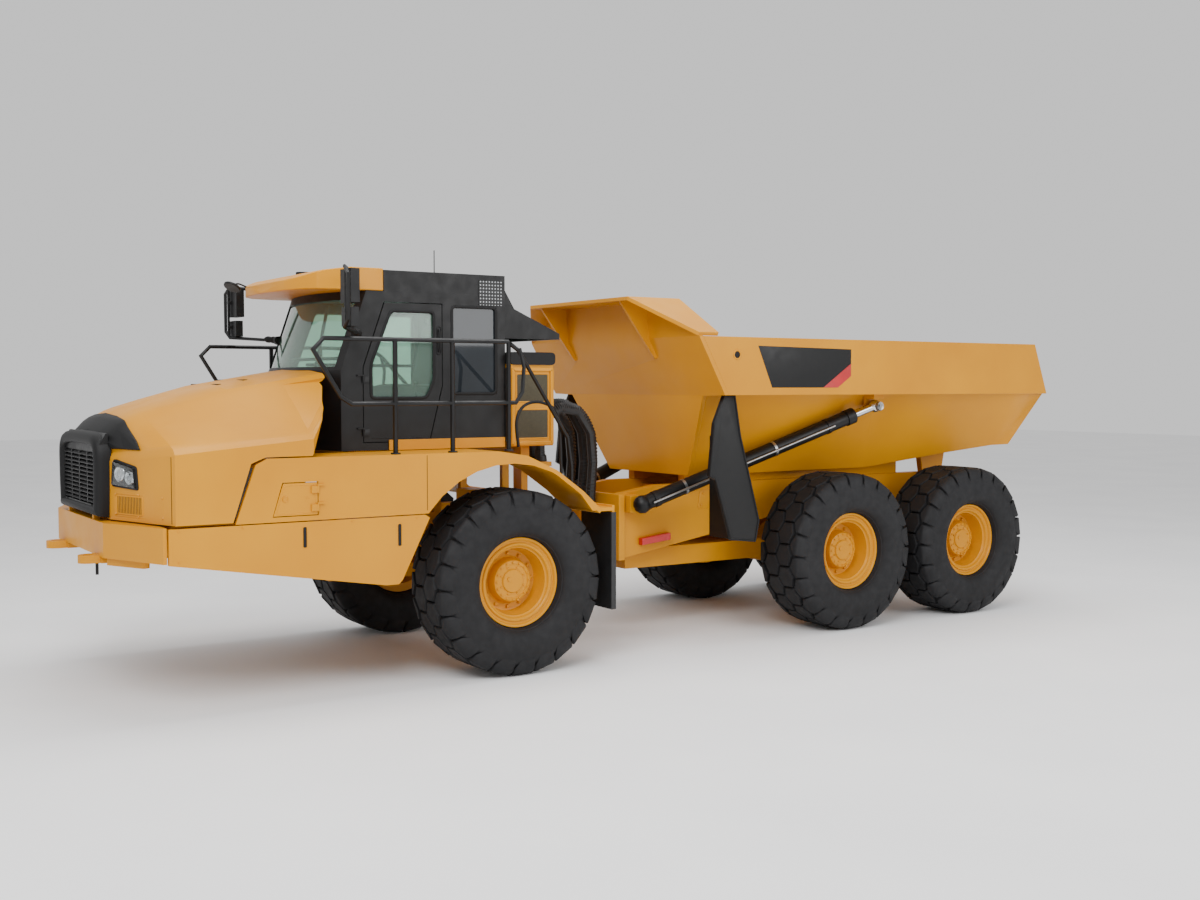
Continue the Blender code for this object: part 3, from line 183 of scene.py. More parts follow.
def yellow_enamel():
    """Two-pack machine enamel sprayed on steel: warm ochre yellow, a satin clear gloss, faint orange peel."""
    made, tree, surface, place = blank("yellow_enamel", Coat_Weight=0.06, Coat_Roughness=0.12, IOR=1.45,
                                       Specular_IOR_Level=0.3)
    feed(tree, surface, "Base Color", mottled(tree, place, 900, linear("#C58200"), linear("#CF8C00")))
    feed(tree, surface, "Roughness", mottled(tree, place, 260, 0.36, 0.48))
    roughened(tree, surface, place, 9, 0.12, 0.35)
    return made


def black_enamel():
    """Satin black enamel on steel and plastic: near black, with a soft sheen and a fine grain."""
    made, tree, surface, place = blank("black_enamel", IOR=1.5, Specular_IOR_Level=0.32)
    feed(tree, surface, "Base Color", mottled(tree, place, 900, linear("#0C0C0D"), linear("#101011")))
    feed(tree, surface, "Roughness", mottled(tree, place, 120, 0.38, 0.52))
    roughened(tree, surface, place, 5, 0.15, 0.4)
    return made


def moulded_black():
    """Textured black polyethylene moulding: matt, leather-grained, a little greyer where light grazes it."""
    made, tree, surface, place = blank("moulded_black", IOR=1.5, Roughness=0.6, Specular_IOR_Level=0.28)
    feed(tree, surface, "Base Color", mottled(tree, place, 700, linear("#0F0F10"), linear("#141415")))
    roughened(tree, surface, place, 7, 0.4, 0.6)
    return made


def tyre_rubber():
    """Vulcanised carbon-black rubber: dull dark grey, a dusty bloom in broad patches and a fine pebble."""
    made, tree, surface, place = blank("tyre_rubber", IOR=1.52, Specular_IOR_Level=0.3)
    feed(tree, surface, "Base Color", mottled(tree, place, 500, linear("#151517"), linear("#1C1C1E")))
    feed(tree, surface, "Roughness", mottled(tree, place, 90, 0.62, 0.8))
    roughened(tree, surface, place, 8, 0.5, 0.5)
    return made


def hose_rubber():
    """Braided hydraulic hose cover: black rubber with a low wrapped-cloth relief."""
    made, tree, surface, place = blank("hose_rubber", IOR=1.52, Roughness=0.55)
    feed(tree, surface, "Base Color", mottled(tree, place, 60, linear("#141415"), linear("#1D1D1E")))
    roughened(tree, surface, place, 4, 0.5, 0.7)
    return made


def tinted_glass():
    """Laminated safety glass: clear with a pale green tint and a mirror-smooth face."""
    made, tree, surface, place = blank("tinted_glass", IOR=1.45, Roughness=0.015, Transmission_Weight=0.92)
    feed(tree, surface, "Base Color", mottled(tree, place, 700, linear("#BFE6D2"), linear("#C9ECDB")))
    return made


def dark_glass():
    """Dark pane: the same smooth face as the glass, coloured nearly black."""
    made, tree, surface, place = blank("dark_glass", IOR=1.45, Roughness=0.03)
    feed(tree, surface, "Base Color", mottled(tree, place, 700, linear("#22262A"), linear("#2B3035")))
    return made


def lamp_glass():
    """Moulded polycarbonate lamp lens: clear, slightly fluted, bright where it catches the light."""
    made, tree, surface, place = blank("lamp_glass", IOR=1.58, Roughness=0.06, Transmission_Weight=0.35,
                                       Coat_Weight=0.6)
    feed(tree, surface, "Base Color", mottled(tree, place, 20, linear("#DADFE2"), linear("#F4F6F7")))
    ribbed(tree, surface, place, 40.0, 1.0, 0.3)
    return made


def hard_chrome():
    """Hard chrome plate on a ground steel rod: bright, with faint grinding marks round the rod."""
    made, tree, surface, place = blank("hard_chrome", Metallic=1.0)
    feed(tree, surface, "Base Color", mottled(tree, place, 80, linear("#C4C6C8"), linear("#DADBDC")))
    feed(tree, surface, "Roughness", mottled(tree, place, 30, 0.1, 0.2))
    return made


def zinc_plate():
    """Zinc-plated steel fittings and bolts: pale grey, slightly blotchy and soft in its shine."""
    made, tree, surface, place = blank("zinc_plate", Metallic=1.0)
    feed(tree, surface, "Base Color", mottled(tree, place, 12, linear("#8E9092"), linear("#B4B5B4")))
    feed(tree, surface, "Roughness", mottled(tree, place, 9, 0.28, 0.42))
    return made


def red_enamel():
    """Safety-red enamel on the articulation lock bar: strong, glossy red."""
    made, tree, surface, place = blank("red_enamel", IOR=1.5, Coat_Weight=0.4, Coat_Roughness=0.1)
    feed(tree, surface, "Base Color", mottled(tree, place, 150, linear("#B0060A"), linear("#BE0A0E")))
    feed(tree, surface, "Roughness", mottled(tree, place, 70, 0.3, 0.42))
    roughened(tree, surface, place, 8, 0.12, 0.35)
    return made


def cast_iron():
    """Painted iron casting: dull grey with a sandy skin."""
    made, tree, surface, place = blank("cast_iron", Metallic=0.2)
    feed(tree, surface, "Base Color", mottled(tree, place, 60, linear("#5A5A56"), linear("#6C6C67")))
    feed(tree, surface, "Roughness", mottled(tree, place, 30, 0.5, 0.7))
    roughened(tree, surface, place, 6, 0.8, 0.7)
    return made


def woven_trim():
    """Woven polyester seat cloth and moulded cab trim: charcoal, with a slightly wavering rib."""
    made, tree, surface, place = blank("woven_trim", IOR=1.45, Sheen_Weight=0.25, Roughness=0.85)
    feed(tree, surface, "Base Color", mottled(tree, place, 35, linear("#2A2B2E"), linear("#3A3B3F")))
    ribbed(tree, surface, place, 60.0, 1.0, 0.5, 0.6)
    return made


def perforated_steel():
    """Punched steel sheet: black enamel with rows of round holes drawn as pale discs, painted light seen
    through them.
    """
    made, tree, surface, place = blank("perforated_steel", IOR=1.5, Roughness=0.5)
    holes = add(tree, "ShaderNodeTexVoronoi", {"Vector": (place, "Object"), "Scale": 30.0, "Randomness": 0.0})
    ramp = add(tree, "ShaderNodeValToRGB", {"Fac": (holes, "Distance")})
    # The holes' pale colour is painted light from behind the sheet; between them the sheet stays black.
    set_ramp(ramp, 0.28, linear("#B4B8BA"), 0.36, linear("#0C0C0D"))
    feed(tree, surface, "Base Color", (ramp, "Color"))
    return made


def clear_cover():
    """Clear polycarbonate lamp cover: near invisible, glossy."""
    made, tree, surface, place = blank("clear_cover", IOR=1.45, Roughness=0.02, Transmission_Weight=1.0)
    feed(tree, surface, "Base Color", mottled(tree, place, 300, linear("#F0F4F5"), linear("#FBFCFC")))
    return made


def olive_mesh():
    """Fine intake mesh in shadow: olive grey wire over a dark void, drawn as a 5 mm weave."""
    made, tree, surface, place = blank("olive_mesh", IOR=1.5, Roughness=0.7)
    feed(tree, surface, "Base Color", mottled(tree, place, 5, linear("#2E2A1C"), linear("#4A432C"), 1.0))
    ribbed(tree, surface, place, 30.0, 2.0, 0.6)
    return made


def studio_floor():
    """Matt pale studio sweep."""
    made, tree, surface, place = blank("studio_floor", Roughness=0.9)
    feed(tree, surface, "Base Color", mottled(tree, place, 2000, linear("#EDEDEE"), linear("#F3F3F3")))
    return made


YELLOW, BLACK, MOULDED = yellow_enamel(), black_enamel(), moulded_black()
RUBBER, HOSE, GLASS, DARK_GLASS = tyre_rubber(), hose_rubber(), tinted_glass(), dark_glass()
LENS, CHROME, ZINC, RED = lamp_glass(), hard_chrome(), zinc_plate(), red_enamel()
IRON, TRIM, PUNCHED = cast_iron(), woven_trim(), perforated_steel()
CLEAR, OLIVE_MESH = clear_cover(), olive_mesh()


# ---- surfaces -----------------------------------------------------------------------
# A shape is (points, faces): an (n, 3) array and a list of index tuples.
def grid(points, wrap_u=False, wrap_v=False, caps=False):
    """The surface through a (u, v, 3) array, a quad between each four neighbours; caps closes the u ends."""
    count_u, count_v = points.shape[:2]
    rows = np.arange(count_u if wrap_u else count_u - 1)[:, None]
    columns = np.arange(count_v if wrap_v else count_v - 1)[None, :]
    here, there = rows * count_v, (rows + 1) % count_u * count_v
    after = (columns + 1) % count_v
    quads = np.stack([here + columns, here + after, there + after, there + columns], axis=-1).reshape(-1, 4)
    faces = quads.tolist()
    if caps:
        faces += [list(range(count_v))[::-1], list(range((count_u - 1) * count_v, count_u * count_v))]
    return points.reshape(-1, 3), faces


def joined(shapes):
    """Several shapes as one, their points stacked and their faces renumbered."""
    points, faces, start = [], [], 0
    for more_points, more_faces in shapes:
        points.append(more_points)
        faces += [[i + start for i in face] for face in more_faces]
        start += len(more_points)
    return np.concatenate(points), faces


def piece(name, shapes, finish, body, replaces=(), smooth=35.0, bevel=0.0, bend=None):
    """One finished object of the shapes: outward faces, shading smooth up to an angle, riding on a body."""
    points, faces = joined(shapes) if isinstance(shapes, list) else shapes
    mesh = bpy.data.meshes.new(name)
    mesh.from_pydata(points.tolist(), [], faces)
    made = bpy.data.objects.new(name, mesh)
    SCENE.collection.objects.link(made)
    rounded = bmesh.new()
    rounded.from_mesh(mesh)
    bmesh.ops.remove_doubles(rounded, verts=rounded.verts, dist=1e-6)
    bmesh.ops.recalc_face_normals(rounded, faces=rounded.faces)
    rounded.to_mesh(mesh)
    rounded.free()
    return finished(made, finish, body, replaces, smooth, bevel, bend)


EDGE_ANGLE = 28.0                             # degrees, past which an edge is rounded
MERGE = 2e-5                                  # metres, between copies of a solid's corner
FLAT = math.radians(0.6)                      # between triangles of one flat face


def finished(made, finish, body, replaces=(), smooth=35.0, bevel=0.0, bend=None):
    """Material, soft edges, shading and body of an object whose mesh is in place."""
    mesh = made.data
    mesh.materials.clear()
    mesh.materials.append(finish)
    mesh.shade_smooth()
    mesh.set_sharp_from_angle(angle=math.radians(smooth))
    if bevel:
        soft = made.modifiers.new("edges", "BEVEL")
        soft.width, soft.segments = bevel, 2
        soft.limit_method, soft.angle_limit = "ANGLE", math.radians(EDGE_ANGLE)
        soft.harden_normals = True
        soft.use_clamp_overlap = True
    if bend:
        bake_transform(made)
    else:
        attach(made, body)
    if replaces:
        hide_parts(*replaces)
    return made


def copied(node, name):
    """A new object with a copy of a CAD solid's mesh, and that mesh open for editing, its corners merged."""
    mesh = frame["nodes"][node].data.copy()
    made = bpy.data.objects.new(name, mesh)
    SCENE.collection.objects.link(made)
    solid = bmesh.new()
    solid.from_mesh(mesh)
    bmesh.ops.remove_doubles(solid, verts=solid.verts, dist=MERGE)
    return made, solid


def flattened(made, solid):
    """Merges the triangles of each flat face and puts the edited mesh back."""
    bmesh.ops.dissolve_limit(solid, angle_limit=FLAT, verts=solid.verts, edges=solid.edges)
    solid.to_mesh(made.data)
    solid.free()


def softened(node, finish, bevel):
    """A CAD solid's own shape with flat faces whole and its edges rounded, standing for the node."""
    made, solid = copied(node, f"{node}_skin")
    flattened(made, solid)
    return finished(made, finish, frame["nodes"][node]["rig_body"], (node,), EDGE_ANGLE, bevel)


def turned(profile, centre, segments=48, side=1):
    """A closed (x, radius) profile swept round an axle line along X through centre (y, z)."""
    turn = np.linspace(0, 2 * math.pi, segments, endpoint=False)[:, None]
    x, r = np.array(profile, float).T
    points = np.stack([np.broadcast_to(side * x, (segments, len(x))), centre[0] + r * np.cos(turn),
                       centre[1] + r * np.sin(turn)], axis=-1)
    return grid(points, wrap_u=True, wrap_v=True)


def bar_along(path, radius, sides=12, ends=True):
    """A round section along a path: rings of centre + radius (n cos a + b sin a), square to the run."""
    path = np.array(path, float)
    radius = np.broadcast_to(np.array(radius, float), (len(path),))
    run = np.gradient(path, axis=0)
    run /= np.linalg.norm(run, axis=1)[:, None]
    normals = [np.cross(run[0], (0.3, 0.9, 0.31))]
    for tangent in run[1:]:                      # the guide turns with the path, one ring after another
        guide = normals[-1] - tangent * (normals[-1] @ tangent)
        normals.append(guide / np.linalg.norm(guide))
    normals[0] = normals[0] / np.linalg.norm(normals[0])
    normals = np.array(normals)
    others = np.cross(run, normals)
    turn = np.linspace(0, 2 * math.pi, sides, endpoint=False)
    offsets = (normals[:, None] * np.cos(turn)[None, :, None]
               + others[:, None] * np.sin(turn)[None, :, None])
    return grid(path[:, None] + offsets * radius[:, None, None], wrap_v=True, caps=ends)


def smooth_path(knots, per_span=8):
    """Points on the Catmull-Rom curve through the knots: cubic spans whose slopes follow their neighbours."""
    knots = np.array(knots, float)
    padded = np.concatenate([[2 * knots[0] - knots[1]], knots, [2 * knots[-1] - knots[-2]]])
    t = np.linspace(0, 1, per_span, endpoint=False)[:, None]
    spans = []
    for a, b, c, d in zip(padded, padded[1:], padded[2:], padded[3:]):
        spans.append(0.5 * (2 * b + (c - a) * t + (2 * a - 5 * b + 4 * c - d) * t ** 2
                            + (3 * b - a - 3 * c + d) * t ** 3))
    return np.concatenate([*spans, knots[-1:]])


def side_axes(side):
    """The (across, up, out) vectors of a panel on one side of the truck."""
    return plane_axes("+X" if side > 0 else "-X")


def plane_axes(axis):
    """The three unit vectors (across, up, out) of a panel that faces along an axis such as '+X'."""
    sign = 1.0 if axis[0] == "+" else -1.0
    return {"X": (np.array((0, sign, 0)), np.array((0, 0, 1.0)), np.array((sign, 0, 0))),
            "Y": (np.array((-sign, 0, 0)), np.array((0, 0, 1.0)), np.array((0, sign, 0))),
            "Z": (np.array((1.0, 0, 0)), np.array((0, sign, 0)), np.array((0, 0, sign)))}[axis[1]]


def rounded_outline(corners, radius, steps=4):
    """An outline of (a, b) corners, each replaced by a quadratic bend that starts a radius before it."""
    corners = np.array(corners, float)
    before, after = np.roll(corners, 1, axis=0), np.roll(corners, -1, axis=0)
    into = (before - corners) / np.linalg.norm(before - corners, axis=1)[:, None]
    out = (after - corners) / np.linalg.norm(after - corners, axis=1)[:, None]
    t = np.linspace(0, 1, steps + 1)[None, :, None]
    bend = ((1 - t) ** 2 * (corners + into * radius)[:, None] + 2 * t * (1 - t) * corners[:, None]
            + t ** 2 * (corners + out * radius)[:, None])
    return bend.reshape(-1, 2)


def drawn_in(outline, amount):
    """An outline moved inwards by an amount, each point along the mean of its two edge normals."""
    edge = np.roll(outline, -1, axis=0) - outline
    length = np.linalg.norm(edge, axis=1)[:, None]
    normal = np.stack([-edge[:, 1], edge[:, 0]], axis=1) / np.maximum(length, 1e-9)
    after = np.roll(outline, -1, axis=0)
    area = np.sum(outline[:, 0] * after[:, 1] - outline[:, 1] * after[:, 0])
    mean = normal + np.roll(normal, 1, axis=0)
    mean /= np.maximum(np.linalg.norm(mean, axis=1)[:, None], 1e-9)
    return outline + mean * amount * (1 if area > 0 else -1)


def raised(outline, place, out_axis, height, soft=0.004):
    """A panel standing off a face: the outline goes up, then rolls in over a soft edge to a flat top.

    place is the 3-D point of the outline's (0, 0), the plane's axes come from out_axis."""
    across, up, out = plane_axes(out_axis) if isinstance(out_axis, str) else out_axis
    outline = np.array(outline, float)
    bend = np.linspace(0, math.pi / 2, 4)
    rings = [drawn_in(outline, 0.0)] + [drawn_in(outline, soft * (1 - math.cos(a))) for a in bend]
    levels = [0.0] + [height - soft + soft * math.sin(a) for a in bend]
    points = np.array([np.array(place, float) + ring[:, :1] * across + ring[:, 1:] * up + level * out
                       for ring, level in zip(rings, levels)])
    return grid(points, wrap_v=True, caps=True)


def slab(x, stations, heights):
    """A box between two values of x, of station and of height: eight points and six faces."""
    corners = np.array([(a, along(b), c) for a in x for b in stations for c in heights], float)
    return corners, [[0, 1, 3, 2], [4, 6, 7, 5], [0, 4, 5, 1], [2, 3, 7, 6], [0, 2, 6, 4], [1, 5, 7, 3]]


def extruded(outline, x):
    """A side-view outline of (station, height) points, swept straight between two values of x."""
    outline = np.array(outline, float)
    ends = [np.column_stack([np.full(len(outline), value), outline[:, 0] + FRONT_AXLE_Y, outline[:, 1]])
            for value in x]
    return grid(np.array(ends), wrap_v=True, caps=True)


def rings_out(place, direction, levels, sides):
    """Rings of (height, radius) levels about an axis line through a place, closed at both ends."""
    direction = np.array(direction, float) / np.linalg.norm(direction)
    side = np.cross(direction, ASKEW)
    side /= np.linalg.norm(side)
    other = np.cross(direction, side)
    turn = np.linspace(0, 2 * math.pi, sides, endpoint=False)
    rim = np.cos(turn)[:, None] * side + np.sin(turn)[:, None] * other
    levels = np.array(levels, float)
    path = np.array(place, float) + levels[:, :1] * direction
    return grid(path[:, None] + rim[None] * levels[:, 1][:, None, None], wrap_v=True, caps=True)


ASKEW = (0.21, 0.53, 0.82)                    # along no axis of the truck, so never parallel to a bolt


def bolt(place, direction, radius=0.012, height=0.010):
    """A hexagon head on its washer: six-sided rings at the washer, the head's foot and its chamfered top."""
    levels = ((-0.002, radius * 1.35), (0.002, radius * 1.35), (0.0025, radius), (height, radius),
              (height + 0.002, radius * 0.75))
    return rings_out(place, direction, levels, 6)


def button(place, direction, radius, height, sides=24, dish=0.0):
    """A round boss: rings along its axis with a rolled edge, its top sunk by a dish."""
    levels = ((0, radius), (height * 0.75, radius), (height, radius * 0.93), (height - dish, radius * 0.8),
              (height - dish, radius * 0.05))
    return rings_out(place, direction, levels, sides)


# ---- wheels ----------------------------------------------------------------------------
PITCHES = 22                                  # tread blocks round the tyre
ROWS = 0.205                                  # between the tread's rows of blocks
GROOVE = 0.011                                # half a groove
TREAD_EDGE = 0.285                            # where the tread turns down over the shoulder
FLOOR_RADIUS = TYRE_RADIUS - 0.042            # bottom of the grooves


def crown(across):
    """Outer radius at a distance from the tyre's middle: a flat crown that falls by a fourth-power curve."""
    return TYRE_RADIUS - 0.006 * (np.abs(across) / TREAD_EDGE) ** 4


def shoulder_line(share):
    """(across, radius) down a tread block's shoulder, share running from the tread's edge to the sidewall."""
    across = TREAD_EDGE + 0.068 * np.sin(share * math.pi / 2)
    return across, TYRE_RADIUS - 0.006 - 0.115 * share ** 1.5


def on_tyre(turn, across, radius, side, centre):
    """Points at turns round the axle line, distances across the tyre and radii."""
    return np.stack([side * (WHEEL_X + across), centre[0] + radius * np.cos(turn),
                     centre[1] + radius * np.sin(turn)], axis=-1)


def block(outline, turn, side, centre):
    """A tread block: its (pitch share, across) outline at the groove's floor, the chamfer and the crown."""
    outline = np.array(outline, float)
    middle = outline.mean(axis=0)
    step = 2 * math.pi / PITCHES
    rings = []
    for shrink, sink in ((1.05, None), (1.0, 0.008), (0.94, 0.0)):
        shape = middle + (outline - middle) * shrink
        if sink is None:
            radius = np.full(len(shape), FLOOR_RADIUS - 0.004)
        else:
            radius = crown(shape[:, 1]) - sink
        rings.append(on_tyre(turn + shape[:, 0] * step, shape[:, 1], radius, side, centre))
    return grid(np.array(rings), wrap_v=True, caps=True)


def shoulder_lug(turn, hand, side, centre):
    """A shoulder block: two walls and a back that follow the crown, then curve down over the shoulder."""
    step = 2 * math.pi / PITCHES
    shares = np.linspace(0, 1, 6)
    down_across, down_radius = shoulder_line(shares)
    across = np.concatenate([[0.208, 0.235, 0.262], down_across])
    radius = np.concatenate([crown(np.array([0.208, 0.235, 0.262])), down_radius])
    half = np.concatenate([[0.02, 0.24, 0.43], np.full(3, 0.44), [0.42, 0.38, 0.33]])
    bend = np.concatenate([np.zeros(3), 0.16 * shares ** 2])       # the lug sweeps back as it goes down
    sunk = np.concatenate([[FLOOR_RADIUS] * 3, np.maximum(down_radius - 0.04, 0.72)])
    rows = []
    for lift, width in ((0.0, 1.06), (0.82, 1.0), (1.0, 0.93), (1.0, -0.93), (0.82, -1.0), (0.0, -1.06)):
        level = sunk + (radius - sunk) * lift
        rows.append(on_tyre(turn + (bend + half * width) * step, hand * across, level, side, centre))
    return grid(np.array(rows).transpose(1, 0, 2), wrap_v=True, caps=True)


def tyre(label, side, station):
    """Carcass turned from its profile, and the tread's interlocked blocks round it."""
    centre = (along(station), TYRE_RADIUS)
    outer = [(0.0, FLOOR_RADIUS), (0.16, FLOOR_RADIUS), (0.262, FLOOR_RADIUS - 0.004), (0.300, 0.835),
             (0.322, 0.800), (0.335, 0.783), (0.342, 0.775), (0.344, 0.766), (0.3475, 0.756), (0.358, 0.715),
             (0.3655, 0.660), (0.368, 0.610), (0.362, 0.560), (0.345, 0.515), (0.318, 0.482), (0.300, 0.470),
             (0.290, 0.466), (0.286, 0.458), (0.268, 0.452), (0.236, 0.446), (0.214, 0.441), (0.198, 0.430),
             (0.198, 0.382)]
    profile = [(WHEEL_X + x, r) for x, r in outer] + [(WHEEL_X - x, r) for x, r in outer[:0:-1]]
    shapes = [turned(profile, centre, 96, side)]
    step = 2 * math.pi / PITCHES
    tall, short = ROWS / 2 + 0.026, ROWS / 2 - 0.026
    width = 0.5 - GROOVE / (step * TYRE_RADIUS)
    hexagon = [(-width, -short + GROOVE), (0, -tall + GROOVE), (width, -short + GROOVE),
               (width, short - GROOVE), (0, tall - GROOVE), (-width, short - GROOVE)]
    for i in range(PITCHES):
        turn = -math.pi / 2 + i * step
        for row, offset in ((-0.5, 0.0), (0.5, 0.5)):
            outline = [(u, v + row * ROWS) for u, v in hexagon]
            shapes.append(block(outline, turn + offset * step, side, centre))
        shapes.append(shoulder_lug(turn + 0.5 * step, -1, side, centre))
        shapes.append(shoulder_lug(turn, 1, side, centre))
    piece(f"tyre_tread_{label}", shapes, RUBBER, f"wheel_{label}", (f"tyre_{label}",), smooth=40)


def rim(label, side, station):
    """Wheel turned from its profile, with the hub's bolted cover, drain boss and two circles of bolts."""
    centre = (along(station), TYRE_RADIUS)
    face = float(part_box(f"rim_{label}")[1 if side > 0 else 0].x) * side
    back = float(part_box(f"rim_{label}")[0 if side > 0 else 1].x) * side
    line = [(back, 0.345), (back, 0.436), (back + 0.030, 0.436), (back + 0.034, 0.372), (face - 0.034, 0.372),
            (face - 0.030, 0.430), (face - 0.022, 0.438), (face - 0.008, 0.439), (face - 0.001, 0.435),
            (face, 0.427), (face - 0.004, 0.417), (face - 0.014, 0.410), (face - 0.030, 0.405),
            (face - 0.036, 0.398), (face - 0.036, 0.388), (face - 0.024, 0.384), (face - 0.018, 0.376),
            (face - 0.018, 0.362), (face - 0.026, 0.353), (face - 0.046, 0.348), (face - 0.056, 0.340),
            (face - 0.060, 0.330), (1.415, 0.318), (1.375, 0.310), (1.352, 0.298), (1.346, 0.280),
            (1.344, 0.238), (1.352, 0.224), (1.372, 0.216), (1.440, 0.206), (1.452, 0.200), (1.458, 0.190),
            (1.460, 0.168), (1.452, 0.165), (1.452, 0.118), (1.462, 0.114), (1.468, 0.108), (1.470, 0.03),
            (1.470, 0.002), (1.302, 0.002), (1.302, 0.30), (1.32, 0.334)]
    shapes = [turned(line, centre, 72, side)]
    out = (side, 0, 0)

    def ringed(count, radius, x, size, height, shift=0.0):
        for i in range(count):
            turn = 2 * math.pi * (i + shift) / count
            place = (side * x, centre[0] + radius * math.cos(turn),
                     centre[1] + radius * math.sin(turn))
            yield bolt(place, out, size, height)

    shapes += ringed(12, 0.262, 1.345, 0.017, 0.022)
    shapes += ringed(16, 0.180, 1.459, 0.0095, 0.010)
    shapes += ringed(8, 0.136, 1.452, 0.009, 0.010, 0.5)
    shapes.append(button((side * 1.469, centre[0] - 0.045, centre[1] + 0.02), out, 0.022, 0.010, 16))
    shapes.append(button((side * 1.459, centre[0] + 0.05, centre[1] - 0.205 + 0.02), out, 0.012, 0.014, 12))
    valve = smooth_path([(side * (face - 0.055), centre[0] + 0.06, centre[1] - 0.335),
                         (side * (face - 0.03), centre[0] + 0.05, centre[1] - 0.362),
                         (side * (face - 0.012), centre[0] + 0.03, centre[1] - 0.372)], 5)
    shapes.append(bar_along(valve, 0.006, 8))
    piece(f"wheel_rim_{label}", shapes, YELLOW, f"wheel_{label}", (f"rim_{label}",), smooth=32)


def wheels():
    """A tyre and a rim at each of the six axle ends."""
    for spot in ("front", "centre", "rear"):
        for hand, side in SIDES:
            label = f"{spot}_{hand}"
            station = float(sum(corner.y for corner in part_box(f"tyre_{label}")) / 2) - FRONT_AXLE_Y
            tyre(label, side, station)
            rim(label, side, station)


wheels()


# ---- plates, frames and castings that keep the solid's own shape ------------------------------
# finish: {rounding of the edges in metres: nodes}
SKINS = {
    YELLOW: {0.003: "side_hatch",
             0.006: "front_frame left_skirt right_skirt left_fender right_fender",
             0.008: "front_axle centre_axle rear_axle hood cooler_pack hitch bed_floor bed_side_left "
                    "bed_side_right bed_headboard",
             0.010: "rear_frame walking_beams",
             0.012: "front_bumper cab_roof"},
    BLACK: {0.0: "left_handrail right_handrail",
            0.004: "cab_door steer_left_barrel steer_right_barrel hoist_left_barrel hoist_right_barrel",
            0.006: "cab_shell left_mirror right_mirror",
            0.012: "grille"},
    IRON: {0.02: "engine"},
    TRIM: {0.012: "cab_interior"},
    RED: {0.008: "articulation_lock"},
    LENS: {0.004: "left_headlamp right_headlamp"},
    HOSE: {0.0: "hitch_hoses"},
    CHROME: {0.003: "steer_left_rod steer_right_rod hoist_left_rod hoist_right_rod"},
    GLASS: {0.0: "windshield rear_window right_side_glass door_glass"},
    DARK_GLASS: {0.0: "left_quarter_glass"}}


def skins():
    """A softened copy of each CAD solid, in its own finish."""
    for finish, roundings in SKINS.items():
        for rounding, nodes in roundings.items():
            for node in nodes.split():
                softened(node, finish, rounding)


# ---- mouldings --------------------------------------------------------------------------------
def framed(outline, profile, place, axes):
    """A moulding round an outline: a closed (inset, level) profile carried round it, level off the face."""
    across, up, out = axes
    outline = np.array(outline, float)
    rings = [drawn_in(outline, inset) for inset, _ in profile]
    points = np.array([np.array(place, float) + ring[:, :1] * across + ring[:, 1:] * up + level * out
                       for ring, (_, level) in zip(rings, profile)])
    return grid(points, wrap_u=True, wrap_v=True)


SUNK = 0.002                                  # a moulding's foot below the face that it lies on


def bead(width, height):
    """The half-round (inset, level) profile of a bead or gasket of a width and height."""
    turn = np.linspace(0, math.pi, 7)
    arch = [(width / 2 - width / 2 * math.cos(a), height * math.sin(a)) for a in turn]
    return [(0.0, -SUNK), *arch, (width, -SUNK)]


def facing(rows, side):
    """(station, height) rows as the (across, up) outline of a panel that faces a side of the truck."""
    rows = np.array(rows, float)
    return np.column_stack([side * (rows[:, 0] + FRONT_AXLE_Y), rows[:, 1]])


# ---- nose -------------------------------------------------------------------------------------
NOSE_FRONT = -3.722                           # station of the cap's foremost edge
CAP_HALF = [(0.705, 1.665), (0.730, 1.90), (0.738, 2.10), (0.735, 2.20), (0.712, 2.275), (0.66, 2.335),
            (0.56, 2.375), (0.40, 2.392), (0.20, 2.398)]
CAP_DEPTH = ((0.115, -3.655), (0.110, -3.700), (0.095, -3.716), (0.060, NOSE_FRONT), (0.028, -3.712),
             (0.008, -3.690), (0.0, -3.650), (0.0, -3.585), (0.06, -3.575), (0.12, -3.600))
SLAT = ((-3.664, -0.012), (-3.692, -0.016), (-3.698, -0.010), (-3.668, 0.010))
SLAT_HALF_WIDTH = 0.585
CAP_BACK, CAP_FOOT = -3.44, 2.255             # the shoulders' rear edge and lower edge


def nose_cap():
    """The black frame round the nose's slats: half an outline mirrored, then (inset, station) rings of it."""
    outline = smooth_path(np.array(CAP_HALF + [(-x, z) for x, z in CAP_HALF[::-1]]), 4)
    rings = []
    for inset, station in CAP_DEPTH:
        ring = drawn_in(outline, inset)
        rings.append(np.column_stack([ring[:, 0], np.full(len(ring), along(station)), ring[:, 1]]))
    piece("nose_cap_face", grid(np.array(rings), wrap_u=True, wrap_v=True), MOULDED, "hood", smooth=50)


def nose_slats():
    """Twelve tilted slats across the nose's opening, behind three uprights."""
    slats = [extruded([(station, z + lift) for station, lift in SLAT], (-SLAT_HALF_WIDTH, SLAT_HALF_WIDTH))
             for z in np.linspace(1.79, 2.20, 12)]
    slats += [slab((x - 0.012, x + 0.012), (-3.69, -3.664), (1.765, 2.215)) for x in (-0.30, 0.0, 0.30)]
    piece("nose_slats", slats, BLACK, "hood")


